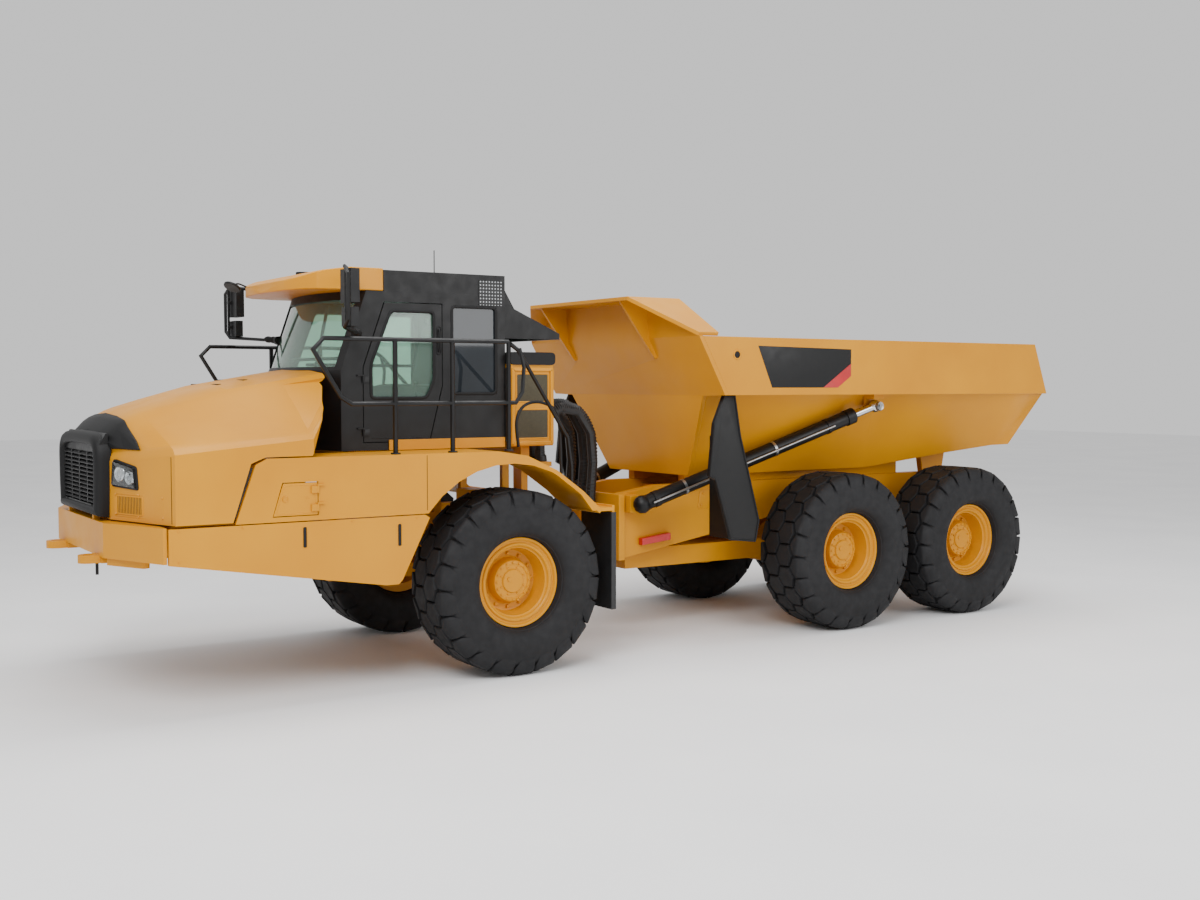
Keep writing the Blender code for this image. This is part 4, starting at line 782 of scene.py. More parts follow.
def nose_cap_shoulders():
    """The cap's upper part: the hood's outer skin, cut at the cap's back and lower edge, then thickened."""
    made, sheet = copied("hood", "nose_cap_shoulders")
    for point, out in (((0, along(CAP_BACK), 0), (0, 1, 0)), ((0, 0, CAP_FOOT), (0, 0, -1))):
        bmesh.ops.bisect_plane(sheet, geom=sheet.verts[:] + sheet.edges[:] + sheet.faces[:], plane_co=point,
                               plane_no=out, clear_outer=True)
    inside = Vector((0, along(-3.20), 1.90))
    inner = [face for face in sheet.faces if face.normal.dot(face.calc_center_median() - inside) <= 0]
    bmesh.ops.delete(sheet, geom=inner, context="FACES")
    flattened(made, sheet)
    thick = made.modifiers.new("thickness", "SOLIDIFY")
    thick.thickness, thick.offset, thick.use_even_offset = 0.024, 0.6, True
    finished(made, MOULDED, "hood", smooth=40, bevel=0.006)


# The nose's corner faces run back from the grille's edge to the hood's sides. Outlines on them are
# (distance along the face, height).
CORNER_FOOT, CORNER_END = np.array((0.74, -3.60)), np.array((1.65, -3.30))
CORNER_RUN = (CORNER_END - CORNER_FOOT) / np.linalg.norm(CORNER_END - CORNER_FOOT)
LAMP_OPENING = rounded_outline([(0.045, 1.935), (0.44, 1.915), (0.415, 2.115), (0.075, 2.175)], 0.03)
LAMP_BEZEL = [(0.0, -0.01), (0.0, 0.010), (0.004, 0.014), (0.016, 0.014), (0.022, 0.008), (0.030, -0.02)]
REFLECTORS = ((0.165, 2.045, 0.062), (0.315, 2.02, 0.056))
REFLECTOR_BOWL = np.array([(0.004, 1.0), (0.016, 1.0), (0.018, 0.92), (0.010, 0.82), (0.006, 0.45),
                           (0.018, 0.18), (0.020, 0.02)])
INTAKE_PLATE = rounded_outline([(0.07, 1.68), (0.80, 1.68), (0.79, 1.885), (0.065, 1.885)], 0.025)
INTAKE_MOUTH = rounded_outline([(0.105, 1.70), (0.50, 1.70), (0.50, 1.865), (0.105, 1.865)], 0.02)
INTAKE_RIM = [(0.0, -0.01), (0.0, 0.008), (0.004, 0.010), (0.010, 0.008), (0.014, -0.01)]
INTAKE_BOLTS = ((0.09, 1.70), (0.78, 1.70), (0.775, 1.868), (0.085, 1.868), (0.43, 1.69), (0.43, 1.876))
INTAKE_BARS = np.linspace(0.12, 0.485, 17)


def corner_face(side):
    """A corner face's foot, and its across, up and lift vectors; the lift leans in towards the grille."""
    foot = np.array((side * CORNER_FOOT[0], along(CORNER_FOOT[1]), 0.0))
    return foot, (np.array((side * CORNER_RUN[0], CORNER_RUN[1], 0)), np.array((0, 0, 1.0)),
                  np.array((side * -CORNER_RUN[1], -CORNER_RUN[0], 0)))


def headlamps():
    """Twin round reflectors behind a clear cover in a dark, bevelled housing, one on each corner face."""
    turn = np.linspace(0, 2 * math.pi, 28, endpoint=False)
    for hand, side in SIDES:
        foot, axes = corner_face(side)
        across, up, lift = axes
        piece(f"{hand}_lamp_bezel", framed(LAMP_OPENING, LAMP_BEZEL, foot, axes), MOULDED, "hood", smooth=45)
        housing = raised(drawn_in(LAMP_OPENING, 0.02), foot - lift * 0.012, axes, 0.016, 0.004)
        piece(f"{hand}_lamp_housing", housing, BLACK, "hood")
        rim = np.cos(turn)[:, None] * across + np.sin(turn)[:, None] * up
        bowls = []
        for a, z, radius in REFLECTORS:
            centre = foot + across * a + up * z
            spread = rim[None] * (radius * REFLECTOR_BOWL[:, 1])[:, None, None]
            bowls.append(grid(centre + REFLECTOR_BOWL[:, :1, None] * lift + spread, wrap_v=True, caps=True))
        piece(f"{hand}_lamp_reflectors", bowls, CHROME, "hood", smooth=50)
        cover = raised(drawn_in(LAMP_OPENING, 0.018), foot + lift * 0.0235, axes, 0.006, 0.003)
        piece(f"{hand}_lamp_cover", cover, CLEAR, "hood", (f"{hand}_headlamp",))


def intake_panels():
    """Bolted panel below each lamp, with a barred intake mesh in its inner two thirds."""
    for hand, side in SIDES:
        foot, axes = corner_face(side)
        across, up, lift = axes
        shapes = [framed(INTAKE_PLATE, bead(0.012, 0.004), foot, axes),
                  framed(INTAKE_MOUTH, INTAKE_RIM, foot, axes)]
        shapes += [bolt(foot + across * a + up * z, lift, 0.009, 0.007) for a, z in INTAKE_BOLTS]
        piece(f"{hand}_corner_panel", shapes, YELLOW, "hood")
        mesh = raised(drawn_in(INTAKE_MOUTH, 0.008), foot, axes, 0.004, 0.001)
        piece(f"{hand}_intake_mesh", mesh, OLIVE_MESH, "hood")
        bars = []
        for a in INTAKE_BARS:
            line = foot + across * a + lift * 0.007
            bars.append(bar_along(np.array([line + up * 1.708, line + up * 1.857]), 0.004, 6))
        piece(f"{hand}_intake_bars", bars, YELLOW, "hood")


# ---- hood, fenders and skirts -------------------------------------------------------------------
HOOD_RIDGE = ((-3.60, 2.40), (-3.50, 2.50), (-3.35, 2.60), (-3.05, 2.69), (-2.58, 2.82), (-1.64, 2.98))
SIDE_FACE = 1.65                              # x of the skirts' and fenders' outer face
CORNER_SEAM, CORNER_SEAM_HEIGHTS = 0.905, (1.66, 1.9, 2.1, 2.215)
FENDER_SEAM, FENDER_SEAM_HEIGHTS = -1.01, (1.66, 1.9, 2.165)
SLOT_HANDLES = ((-2.19, 1.385, 1.585), (-1.29, 1.34, 1.56))
SLOT_HALF_WIDTH = 0.026
SKIRT_BOLTS = ((-3.28, 1.60), (-3.28, 1.345), (-1.12, 1.60), (-2.74, 1.60), (-1.75, 1.60))
HATCH_EDGE = ((-2.455, 1.692), (-2.085, 1.692), (-2.085, 1.948), (-2.372, 1.948))


def between_table(value, table):
    """Straight-line reading of a table of (value, result) pairs."""
    keys, results = zip(*table)
    return float(np.interp(value, keys, results))


def seams():
    """Dark rubber-lined seams at the hood's corner and in the fender, and four intake slots on the crown."""
    for hand, side in SIDES:
        foot, (across, up, lift) = corner_face(side)
        upright = [foot + across * CORNER_SEAM + up * z + lift * 0.0012 for z in CORNER_SEAM_HEIGHTS]
        piece(f"{hand}_corner_seam", bar_along(upright, 0.0035, 6), MOULDED, "hood")
        split = points_at([(side * SIDE_FACE, FENDER_SEAM, z) for z in FENDER_SEAM_HEIGHTS])
        piece(f"{hand}_fender_seam", bar_along(split, 0.003, 6), MOULDED, "tractor")
    slots = []
    for x, station in ((0.30, -2.55), (0.30, -2.30), (-0.30, -2.55), (-0.30, -2.30)):
        top = between_table(station, HOOD_RIDGE) - 0.012
        slots.append(slab((x - 0.11, x + 0.11), (station, station + 0.045), (top - 0.02, top + 0.006)))
    piece("hood_crown_slots", slots, MOULDED, "hood", bevel=0.006)


def side_panels():
    """Slot handles and bolts on the skirts, and the hatch's latch and edge bead."""
    for hand, side in SIDES:
        axes = side_axes(side)
        place = (side * SIDE_FACE, 0, 0)
        rims, shadows = [], []
        for station, low, high in SLOT_HANDLES:
            centre = side * along(station)
            near, far = centre - SLOT_HALF_WIDTH, centre + SLOT_HALF_WIDTH
            slot = rounded_outline([(near, low), (far, low), (far, high), (near, high)], 0.024)
            rims.append(framed(slot, bead(0.010, 0.005), place, axes))
            shadows.append(raised(drawn_in(slot, 0.006), place, axes, 0.0015, 0.0005))
        piece(f"{hand}_slot_rims", rims, YELLOW, "tractor")
        piece(f"{hand}_slot_shadows", shadows, MOULDED, "tractor")
        heads = [bolt(point_at(side * SIDE_FACE, s, z), axes[2], 0.008, 0.006) for s, z in SKIRT_BOLTS]
        piece(f"{hand}_skirt_bolts", heads, YELLOW, "tractor")
    edge = rounded_outline(facing(HATCH_EDGE, 1), 0.035)
    latch = [framed(edge, bead(0.010, 0.003), (SIDE_FACE, 0, 0), side_axes(1)),
             button(point_at(SIDE_FACE, -2.365, 1.825), (1, 0, 0), 0.026, 0.008, 24, 0.004),
             slab((SIDE_FACE, SIDE_FACE + 0.007), (-2.386, -2.344), (1.821, 1.829)),
             slab((SIDE_FACE, SIDE_FACE + 0.004), (-2.18, -2.15), (1.828, 1.834))]
    piece("hatch_latch", latch, YELLOW, "hatch")


LASHING_EAR = ((0.86, -3.68), (1.30, -3.47), (1.26, -3.40), (1.06, -3.50), (0.82, -3.56))
LASHING_SLOT = ((0.97, -3.595), (1.10, -3.535), (1.12, -3.50), (0.99, -3.56))
LASHING_BOTTOM, LASHING_TOP = 1.265, 1.325


def bumper_details():
    """Slotted lashing eyes outboard of the tow plates, and a drain peg."""
    for hand, side in SIDES:
        ear = rounded_outline([(x, along(station)) for x, station in LASHING_EAR], 0.035, 4)
        slot = rounded_outline([(x, along(station)) for x, station in LASHING_SLOT], 0.018, 4)
        count = len(ear)
        nearest = [int(round(i * len(slot) / count)) % len(slot) for i in range(count)]
        rings = []
        for outline, z in ((slot[nearest], LASHING_BOTTOM), (ear, LASHING_BOTTOM), (ear, LASHING_TOP),
                           (slot[nearest], LASHING_TOP)):
            rings.append(np.column_stack([side * outline[:, 0], outline[:, 1], np.full(count, z)]))
        eye = grid(np.array(rings), wrap_u=True, wrap_v=True)
        piece(f"{hand}_lashing_eye", eye, YELLOW, "tractor", bevel=0.004)
    peg = bar_along(points_at([(0.65, -3.70, 1.30), (0.65, -3.70, 1.16)]), 0.014, 10)
    piece("bumper_peg", peg, BLACK, "tractor")


FLAP_FRONT, FLAP_BACK = 1.051, 1.099          # stations of the mudflap's two faces
FLAP_RIB = 0.004


def mudflaps():
    """Ribbed black rubber flaps behind the front wheels: cosine ribs across, straight from top to bottom."""
    across = np.linspace(1.07, 1.63, 15)
    ribs = FLAP_RIB * np.cos(np.arange(len(across)) * math.pi)
    for hand, side in SIDES:
        rows = []
        for z in np.linspace(0.545, 1.53, 12):
            height = np.full(len(across), z)
            front = np.column_stack([side * across, along(FLAP_FRONT) - ribs, height])
            back = np.column_stack([side * across, along(FLAP_BACK) + ribs, height])
            rows.append(np.concatenate([front, back[::-1]]))
        piece(f"{hand}_mudflap", grid(np.array(rows), wrap_v=True, caps=True), HOSE, "tractor", smooth=40)


# ---- cab --------------------------------------------------------------------------------------
CAB_FACE = 0.970                              # x of the cab's outer side
PANE_EDGE = 0.012                             # a gasket's reach past its pane
DOOR_PANE = ((-1.26, 2.68), (-0.67, 2.68), (-0.59, 2.86), (-0.59, 3.52), (-1.05, 3.52), (-1.26, 3.00))
LEFT_PANE = ((-0.40, 2.72), (0.10, 2.72), (0.10, 3.58), (-0.40, 3.58))
RIGHT_PANE = ((0.10, 2.72), (-1.26, 2.72), (-1.26, 3.00), (-1.04, 3.58), (0.10, 3.58))
HANDLE_CUP = ((-0.565, 3.10), (-0.515, 3.10), (-0.515, 3.38), (-0.565, 3.38))
HANDLE_GRIP = [(0.972, -0.54, 3.13), (0.992, -0.54, 3.16), (0.992, -0.54, 3.32), (0.972, -0.54, 3.35)]
INNER_BARS = (
    [(0.0, -1.42, 2.96), (0.0, -1.28, 3.60)],
    [(-0.78, -1.38, 3.06), (-0.4, -1.50, 3.06), (0.4, -1.50, 3.06), (0.78, -1.38, 3.06)],
    [(-0.86, -0.62, 2.30), (-0.86, -0.62, 3.64)],
    [(-0.86, -1.18, 3.02), (-0.86, 0.08, 3.02)],
    [(0.0, 0.11, 2.82), (0.0, 0.11, 3.56)])
# x, stations and heights of the dash top, the dash's side pod, the far console and the lever's console
CONSOLES = (((-0.48, 0.48), (-1.34, -1.24), (2.92, 2.955)), ((0.30, 0.42), (-1.26, -1.22), (2.70, 2.90)),
            ((-0.62, -0.36), (-0.66, -0.24), (2.30, 2.78)), ((0.34, 0.60), (-0.62, -0.28), (2.30, 2.62)))
LEVER = [(0.46, -0.50, 2.62), (0.46, -0.54, 2.74), (0.47, -0.56, 2.84)]
# centre, (width, depth, thickness) and lean of the seat's cushion, back and headrest
SEAT_PADS = (((0, -0.44, 2.735), (0.56, 0.54, 0.17), 0.0), ((0, -0.14, 3.10), (0.50, 0.15, 0.70), 0.22),
             ((0, -0.054, 3.53), (0.30, 0.12, 0.20), 0.22))


def cab_glass_edges():
    """Rubber gaskets round the door's glass and the side panes."""
    moulding = bead(0.030, 0.009)
    door = drawn_in(rounded_outline(facing(DOOR_PANE, 1), 0.05), -PANE_EDGE)
    piece("door_gasket", framed(door, moulding, (CAB_FACE, 0, 0), side_axes(1)), MOULDED, "door", smooth=50)
    for (hand, side), pane in zip(SIDES, (LEFT_PANE, RIGHT_PANE)):
        edge = drawn_in(rounded_outline(facing(pane, side), 0.05), -PANE_EDGE)
        gasket = framed(edge, bead(0.030, 0.008), (side * CAB_FACE, 0, 0), side_axes(side))
        piece(f"{hand}_glass_gasket", gasket, MOULDED, "tractor", smooth=50)


def cab_door_fittings():
    """The door's cupped handle and the two creases pressed in its lower panel."""
    cup = rounded_outline(facing(HANDLE_CUP, 1), 0.02)
    handle = [framed(cup, bead(0.010, 0.007), (CAB_FACE, 0, 0), side_axes(1)),
              bar_along(points_at(HANDLE_GRIP), 0.008, 10)]
    piece("door_handle", handle, BLACK, "door")
    creases = [slab((0.968, 0.975), (-1.25, -0.72 + (z - 2.3) * 0.1), (z, z + 0.008)) for z in (2.30, 2.62)]
    piece("door_creases", creases, BLACK, "door", bevel=0.002)


def cushion(centre, size, lean):
    """A crowned pad: a sphere's sines and cosines raised to a power under one, sheared back by a lean."""
    u = np.linspace(-math.pi / 2, math.pi / 2, 13)[:, None]
    v = np.linspace(0, 2 * math.pi, 28, endpoint=False)[None, :]

    def squared_off(values):
        return np.sign(values) * np.abs(values) ** 0.35

    x = size[0] / 2 * squared_off(np.cos(u)) * squared_off(np.cos(v))
    y = size[1] / 2 * squared_off(np.cos(u)) * squared_off(np.sin(v))
    z = size[2] / 2 * squared_off(np.sin(u)) * np.ones_like(v)
    return grid(np.stack([centre[0] + x, centre[1] + y + lean * z, centre[2] + z], axis=-1), wrap_v=True,
                caps=True)


def cab_room():
    """The bars, consoles, dials, lever and seat pads that show through the glass, and the plinth outside."""
    bars = [bar_along(points_at(line), 0.017, 8) for line in INNER_BARS]
    piece("cab_inner_bars", bars, TRIM, "tractor")
    controls = [button(point_at(x, -1.27, 2.86), (0, 1, 0.4), 0.05, 0.02, 24, 0.006) for x in (-0.14, 0.14)]
    controls += [slab(*console) for console in CONSOLES]
    controls.append(bar_along(smooth_path(points_at(LEVER), 4), 0.018, 10))
    piece("cab_controls", controls, MOULDED, "tractor", bevel=0.006)
    pads = [cushion(point_at(*centre), size, lean) for centre, size, lean in SEAT_PADS]
    piece("driver_seat_pads", pads, TRIM, "tractor", smooth=60)
    plinth = [slab(sorted((side * 0.972, side * 0.984)), (-1.08, 0.19), (2.185, 2.285)) for _, side in SIDES]
    piece("cab_plinth", plinth, YELLOW, "tractor", bevel=0.003)


GUARD_SLOPE = ((0.20, 3.868), (0.355, 3.588), (0.885, 3.352))


def roof_details():
    """Pod and round mirror on the visor, pierced sheets at the rear corners, and ribs down the guard."""
    piece("roof_pod", button(point_at(0.20, -1.62, 3.885), (0, 0, 1), 0.07, 0.022), MOULDED, "tractor")
    sheets = [slab(sorted((side * 0.969, side * 0.975)), (-0.10, 0.165), (3.60, 3.84)) for _, side in SIDES]
    piece("cab_pierced_corners", sheets, PUNCHED, "tractor")
    arm = smooth_path(points_at([(-0.62, -1.90, 3.80), (-0.60, -2.00, 3.83), (-0.56, -2.07, 3.80)]), 5)
    mirror = [bar_along(arm, 0.009, 8),
              button(point_at(-0.56, -2.07, 3.80), (0.25, -0.45, -0.85), 0.085, 0.022, 28)]
    piece("visor_round_mirror", mirror, BLACK, "tractor")
    ribs = [bar_along(points_at([(x, *spot) for spot in GUARD_SLOPE]), 0.007, 6)
            for x in np.linspace(-0.78, 0.78, 9)]
    piece("guard_ribs", ribs, BLACK, "tractor")


KNUCKLE = np.array([0.024, 0.036, 0.038, 0.030, 0.036, 0.034, 0.022])     # radii along a mirror arm's boot
# height of the arm, then (x, station) where its boot starts and ends
MIRROR_ARMS = ((3.80, (1.08, -1.45), (1.20, -1.52)), (3.285, (1.08, -1.42), (1.20, -1.51)))
BOOT_RISE = 0.012
# (x, station, height), half width and half height of each mirror glass
MIRROR_GLASS = (((1.54, -1.66, 3.69), 0.105, 0.14), ((1.55, -1.67, 3.415), 0.09, 0.07))


def mirror_details():
    """Knuckles and boots on each mirror's arms, and bright glass in the two heads."""
    for hand, side in SIDES:
        shapes = []
        for z, start, end in MIRROR_ARMS:
            near = (side * start[0], along(start[1]), z)
            far = (side * end[0], along(end[1]), z + BOOT_RISE)
            path = np.linspace(near, far, len(KNUCKLE))
            shapes.append(bar_along(path, KNUCKLE, 14))
        for z in (3.80, 3.28):
            socket = points_at([(side * 0.975, -1.44, z), (side * 1.04, -1.44, z)])
            shapes.append(bar_along(socket, 0.045, 14))
        piece(f"{hand}_mirror_boots", shapes, MOULDED, "tractor", smooth=50)
        panes = []
        for (x, station, z), wide, tall in MIRROR_GLASS:
            pane = rounded_outline([(-wide, -tall), (wide, -tall), (wide, tall), (-wide, tall)], 0.03)
            panes.append(raised(pane, point_at(side * x, station, z), plane_axes("+Y"), 0.004, 0.001))
        piece(f"{hand}_mirror_glass", panes, CHROME, "tractor")


RAIL_X, RAIL_POSTS = 1.60, (-1.30, -0.72, -0.12)
DECK = 2.181
GRAB_RAIL = ((0.16, 2.20), (0.14, 2.45), (0.22, 2.60), (0.40, 2.64), (0.58, 2.56), (0.64, 2.36), (0.66, 1.80))


def rail_details():
    """Clamp feet of the handrail posts, and the arched grab rail behind the cab."""
    for hand, side in SIDES:
        feet = [button(point_at(side * RAIL_X, station, DECK), (0, 0, 1), 0.045, 0.014, 18)
                for station in RAIL_POSTS]
        piece(f"{hand}_rail_feet", feet, BLACK, "tractor")
        grab = smooth_path(points_at([(side * 1.30, *spot) for spot in GRAB_RAIL]), 5)
        piece(f"{hand}_grab_rail", bar_along(grab, 0.016, 10), BLACK, "tractor")


# ---- behind the cab ---------------------------------------------------------------------------
COOLER_SIDE = 1.05
COOLER_CAP = ((0.205, 3.012), (0.735, 3.012), (0.735, 3.140), (0.205, 3.140))
COOLER_BORDER = ((0.225, 2.20), (0.715, 2.20), (0.715, 2.985), (0.225, 2.985))
COOLER_FRAME = [(0.0, -0.004), (0.0, 0.014), (0.006, 0.018), (0.032, 0.018), (0.038, 0.012), (0.038, -0.004)]
COOLER_PANES = ((2.26, 2.57), (2.63, 2.93))
PANE_FRONT, PANE_BACK = 0.275, 0.665


def cooler_details():
    """Cooler box: rolled black cap, pressed side frames with olive panels, and the finned core in front."""
    cap = rounded_outline([(station, z) for station, z in COOLER_CAP], 0.05)
    piece("cooler_cap", extruded(cap, (-1.068, 1.068)), MOULDED, "tractor", smooth=45)
    for hand, side in SIDES:
        axes = side_axes(side)
        place = (side * COOLER_SIDE, 0, 0)
        shapes = [framed(rounded_outline(facing(COOLER_BORDER, side), 0.02), COOLER_FRAME, place, axes)]
        panes = []
        for low, high in COOLER_PANES:
            rows = [(PANE_FRONT, low), (PANE_BACK, low), (PANE_BACK, high), (PANE_FRONT, high)]
            pane = rounded_outline(facing(rows, side), 0.03)
            shapes.append(framed(pane, bead(0.016, 0.006), place, axes))
            panes.append(raised(drawn_in(pane, 0.010), place, axes, 0.002, 0.0008))
        shapes += [bolt(point_at(side * 1.066, station, z), axes[2], 0.008, 0.006)
                   for station in (0.245, 0.695) for z in (2.22, 2.60, 2.965)]
        piece(f"{hand}_cooler_frame", shapes, YELLOW, "tractor")
        piece(f"{hand}_cooler_panels", panes, OLIVE_MESH, "tractor")
    fins = [slab((x - 0.004, x + 0.004), (0.195, 0.225), (2.24, 2.98)) for x in np.linspace(-0.98, 0.98, 50)]
    fins += [slab((-1.0, 1.0), (0.19, 0.20), (z - 0.006, z + 0.006)) for z in (2.42, 2.61, 2.80)]
    piece("cooler_fins", fins, BLACK, "tractor")


HOSES = ((-0.16, 0.0), (0.10, 0.06), (0.28, 0.02))      # x of each loop, and how much higher it arches
HOSE_RADIUS, HOSE_RIB, CUFF_RADIUS = 0.051, 0.0065, 0.063
CUFF_RINGS = 6


def hitch_loops():
    """Three hose bundles that arch over the hitch; their radius swells and shrinks by a rib at every ring."""
    shapes = []
    for x, lift in HOSES:
        knots = points_at([(x, 1.04, 1.98), (x, 1.02, 2.20), (x, 1.10, 2.44 + lift), (x, 1.30, 2.54 + lift),
                           (x, 1.52, 2.50 + lift), (x, 1.68, 2.28), (x, 1.71, 1.95), (x, 1.68, 1.60),
                           (x, 1.68, 1.405)])
        path = smooth_path(knots, 18)
        shapes.append(bar_along(path, HOSE_RADIUS + HOSE_RIB * np.cos(np.arange(len(path)) * math.pi), 14))
        shapes += [bar_along(end, CUFF_RADIUS, 16) for end in (path[:CUFF_RINGS], path[-CUFF_RINGS:])]
    piece("hitch_hose_loops", shapes, HOSE, None, ("hitch_hoses",), smooth=60,
          bend=("tractor", "hitch", (0, along(1.02), 2.2), (0, along(1.68), 1.9)))


def long_axis(node):
    """Lower end, unit direction and length of a cylinder: its points' principal axis, pointing rearwards."""
    points = np.array([vertex.co for vertex in frame["nodes"][node].data.vertices])
    middle = points.mean(axis=0)
    run = np.linalg.svd(points - middle)[2][0]
    run *= np.sign(run[1])
    reach = (points - middle) @ run
    return middle + run * reach.min(), run, reach.max() - reach.min()


def hoist_details():
    """Glands, a steel pipe and its clamps on the two hoist barrels."""
    for hand, side in SIDES:
        barrel = f"hoist_{hand}_barrel"
        start, run, length = long_axis(barrel)
        collars = ((length - 0.115, length - 0.004, 0.094), (length - 0.40, length - 0.36, 0.091),
                   (0.24, 0.30, 0.092))
        glands = [bar_along(np.array([start + run * low, start + run * high]), radius, 32)
                  for low, high, radius in collars]
        piece(f"hoist_{hand}_glands", glands, BLACK, barrel, smooth=40)
        out = np.array((side, 0, 0)) - run * side * run[0]
        out = out / np.linalg.norm(out)
        stations = ((0.27, 0.07), (0.29, 0.102), (0.36, 0.106), (length - 0.50, 0.106),
                    (length - 0.42, 0.102), (length - 0.38, 0.08))
        pipe = smooth_path(np.array([start + run * ahead + out * off for ahead, off in stations]), 4)
        clamps = [bar_along(np.array([start + run * a, start + run * (a + 0.03)]), 0.0895, 32)
                  for a in (0.62, 1.22, 1.82)]
        piece(f"hoist_{hand}_pipe", [bar_along(pipe, 0.012, 10), *clamps], ZINC, barrel, smooth=40)


PIN_INSET = 0.075                             # from the rod's upper corner to the pin in its eye


def hoist_pins():
    """Pins with keeper bolts where the hoist rods meet the bed."""
    for hand, side in SIDES:
        low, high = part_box(f"hoist_{hand}_rod")
        y, z = high.y - PIN_INSET, high.z - PIN_INSET
        x = max(abs(low.x), abs(high.x))
        out = (side, 0, 0)
        pin = [button((side * (x - 0.01), y, z), out, 0.055, 0.035, 28, 0.004),
               bolt((side * (x + 0.02), y, z), out, 0.018, 0.014)]
        piece(f"hoist_{hand}_pin", pin, ZINC, "dump_bed")


# ---- body -------------------------------------------------------------------------------------
LEAF = ((2.56, 2.71), (2.42, 2.40), (2.36, 1.84), (2.44, 1.80), (2.66, 1.14), (3.00, 1.10), (3.05, 1.33),
        (2.78, 2.27), (2.70, 2.71))
LEAF_IN, LEAF_THICK = 1.5155, 0.038           # x of the leaf's inner face, and its thickness
DECAL = ((2.90, 3.23), (4.27, 3.21), (4.27, 2.91), (4.07, 2.78), (3.10, 2.78))
STRIPE = ((4.27, 3.05), (4.27, 2.91), (4.07, 2.78), (3.85, 2.78))
DECAL_HEIGHT = 0.0015
LIFTING_EYE, LIFTING_RADIUS = (2.61, 3.13), 0.055
BRACKET = ((2.97, 1.38), (3.23, 1.38), (3.20, 1.60), (3.00, 1.60))
BRACKET_BOLTS = ((3.02, 1.42), (3.18, 1.42), (3.05, 1.56), (3.15, 1.56))


def spill_guards():
    """Black leaf that hangs at each front corner of the bed, with a rolled edge and a fold behind it."""
    for hand, side in SIDES:
        axes = side_axes(side)
        leaf = drawn_in(rounded_outline(facing(LEAF, side), 0.01), -0.006)
        shapes = [raised(leaf, (side * LEAF_IN, 0, 0), axes, LEAF_THICK, 0.006),
                  framed(leaf, bead(0.02, 0.012), (side * (LEAF_IN + LEAF_THICK), 0, 0), axes)]
        piece(f"{hand}_spill_guard", shapes, BLACK, "dump_bed")
        fold = slab(sorted((side * 1.176, side * 1.546)), (2.655, 2.695), (1.146, 2.254))
        piece(f"{hand}_spill_guard_fold", fold, BLACK, "dump_bed", bevel=0.004)


def bed_sides():
    """Blank decal and its red stripe, and the lifting eye at each front corner, its hole a black disc of
    painted shade.
    """
    turn = np.linspace(0, 2 * math.pi, 24, endpoint=False)
    for hand, side in SIDES:
        axes = side_axes(side)
        place = (side * HALF_WIDTH, 0, 0)
        decal = raised(facing(DECAL, side), place, axes, DECAL_HEIGHT, 0.0005)
        piece(f"{hand}_side_decal", decal, BLACK, "dump_bed")
        stripe = raised(facing(STRIPE, side), (side * (HALF_WIDTH + DECAL_HEIGHT), 0, 0), axes, 0.001, 0.0003)
        piece(f"{hand}_side_stripe", stripe, RED, "dump_bed")
        circle = LIFTING_RADIUS * np.column_stack([np.cos(turn), np.sin(turn)])
        ring = facing(np.array(LIFTING_EYE) + circle, side)
        welded = framed(ring, bead(0.018, 0.010), place, axes)
        piece(f"{hand}_lifting_eye", welded, YELLOW, "dump_bed", smooth=50)
        # The eye's hole is not cut: the black disc in it is painted shade.
        hole = raised(drawn_in(ring, 0.014), place, axes, 0.002, 0.0005)
        piece(f"{hand}_lifting_hole_shade", hole, MOULDED, "dump_bed")


def frame_brackets():
    """Bolted bracket plates on the rear frame's sides."""
    for hand, side in SIDES:
        axes = side_axes(side)
        plate = rounded_outline(facing(BRACKET, side), 0.04)
        shapes = [raised(plate, (side * 0.55, 0, 0), axes, 0.016, 0.004)]
        shapes += [bolt(point_at(side * 0.566, s, z), axes[2], 0.016, 0.012) for s, z in BRACKET_BOLTS]
        piece(f"{hand}_frame_bracket", shapes, YELLOW, "rear")


for section in (skins, nose_cap, nose_slats, nose_cap_shoulders, headlamps, intake_panels, seams, side_panels,
                bumper_details, mudflaps, cab_glass_edges, cab_door_fittings, cab_room, roof_details,
                mirror_details, rail_details, cooler_details, hitch_loops, hoist_details, hoist_pins,
                spill_guards, bed_sides, frame_brackets):
    section()




# ---- camera, light and floor ----------------------------------------------------------------
def aimed(made, place, direction):
    """Puts a light or the camera in the scene at a place, looking along a direction."""
    made.location = place
    made.rotation_mode = "QUATERNION"
    made.rotation_quaternion = direction.to_track_quat("-Z", "Y")
    SCENE.collection.objects.link(made)


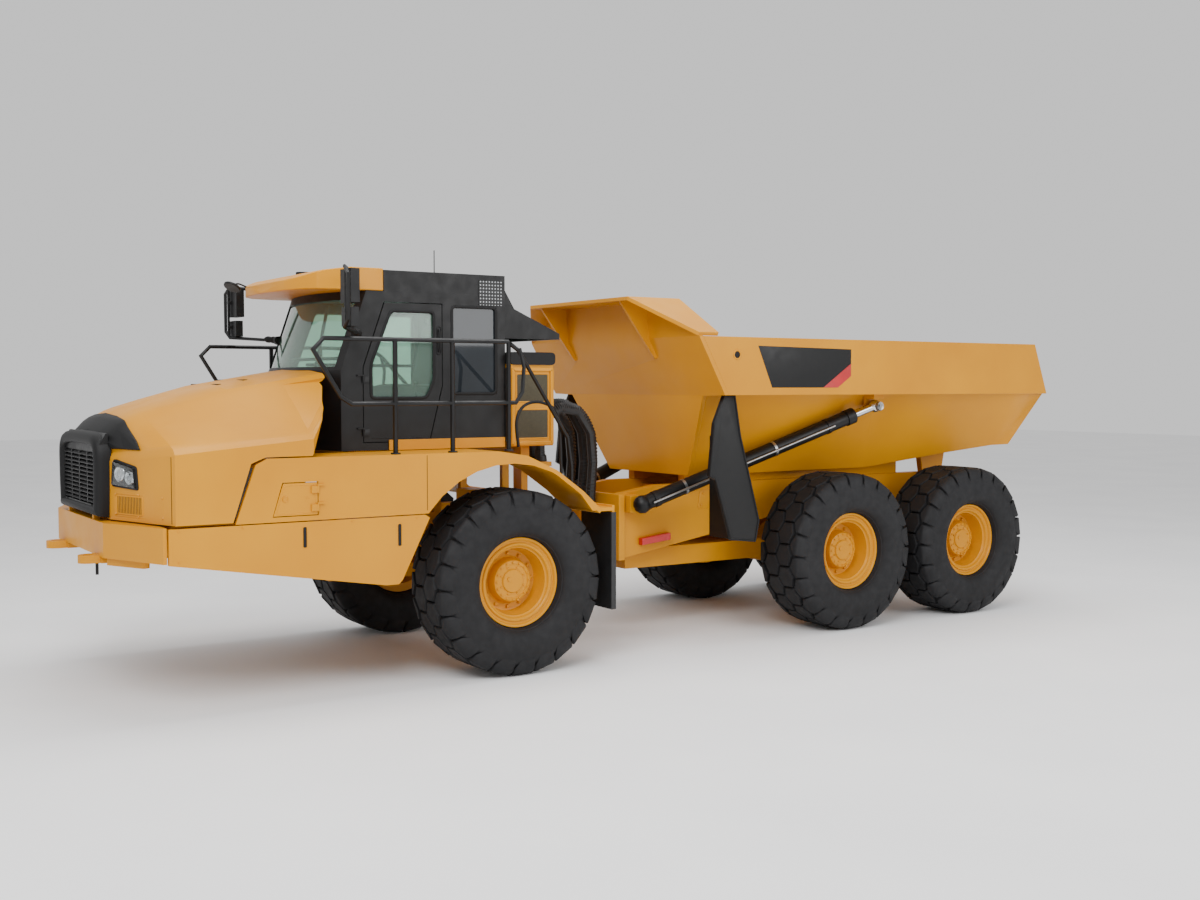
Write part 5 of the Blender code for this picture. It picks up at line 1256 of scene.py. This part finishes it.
FLOOR_REACH = 60.0                            # half the floor, in metres
SKY = 0.85
# name, place, size, watts and the point aimed at
LIGHTS = (
    ("key", (9.0, -9.0, 11.0), (7.0, 7.0), 1500.0, (0.5, -1.0, 1.5)),
    ("fill", (13.0, 5.0, 6.0), (8.0, 5.0), 650.0, (0.0, 1.0, 1.5)),
    ("top", (0.0, 0.5, 12.0), (6.0, 12.0), 1100.0, (0.0, 0.5, 0.0)))


def studio():
    """A pale level floor, three soft area lights and an even white sky."""
    floor = bpy.data.meshes.new("floor")
    reach = FLOOR_REACH
    corners = [(-reach, -reach, 0), (reach, -reach, 0), (reach, reach, 0), (-reach, reach, 0)]
    floor.from_pydata(corners, [], [[0, 1, 2, 3]])
    sheet = bpy.data.objects.new("floor", floor)
    SCENE.collection.objects.link(sheet)
    floor.materials.append(studio_floor())
    world = bpy.data.worlds.new("studio")
    SCENE.world = world
    world.use_nodes = True
    sky = world.node_tree.nodes["Background"].inputs
    sky["Color"].default_value = (1.0, 1.0, 1.0, 1.0)
    sky["Strength"].default_value = SKY
    for name, place, size, watts, aim in LIGHTS:
        lamp = bpy.data.lights.new(name, "AREA")
        lamp.shape, lamp.size, lamp.size_y, lamp.energy = "RECTANGLE", size[0], size[1], watts
        aimed(bpy.data.objects.new(name, lamp), place, Vector(aim) - Vector(place))


CAMERA_PLACE = (12.654, -8.362, 2.809)
CAMERA_AZIMUTH, CAMERA_ELEVATION = 56.31, 2.80      # degrees
CAMERA_LENS, SENSOR = 39.89, 36.0                   # mm


def camera():
    """The viewpoint: off the truck's left front corner, a little below the bonnet line's top."""
    data = bpy.data.cameras.new("camera")
    data.lens, data.sensor_width = CAMERA_LENS, SENSOR
    data.clip_end = 400.0
    holder = bpy.data.objects.new("camera", data)
    a, e = math.radians(CAMERA_AZIMUTH), math.radians(CAMERA_ELEVATION)
    back = Vector((math.sin(a) * math.cos(e), -math.cos(a) * math.cos(e), math.sin(e)))
    aimed(holder, CAMERA_PLACE, -back)
    SCENE.camera = holder


studio()
camera()
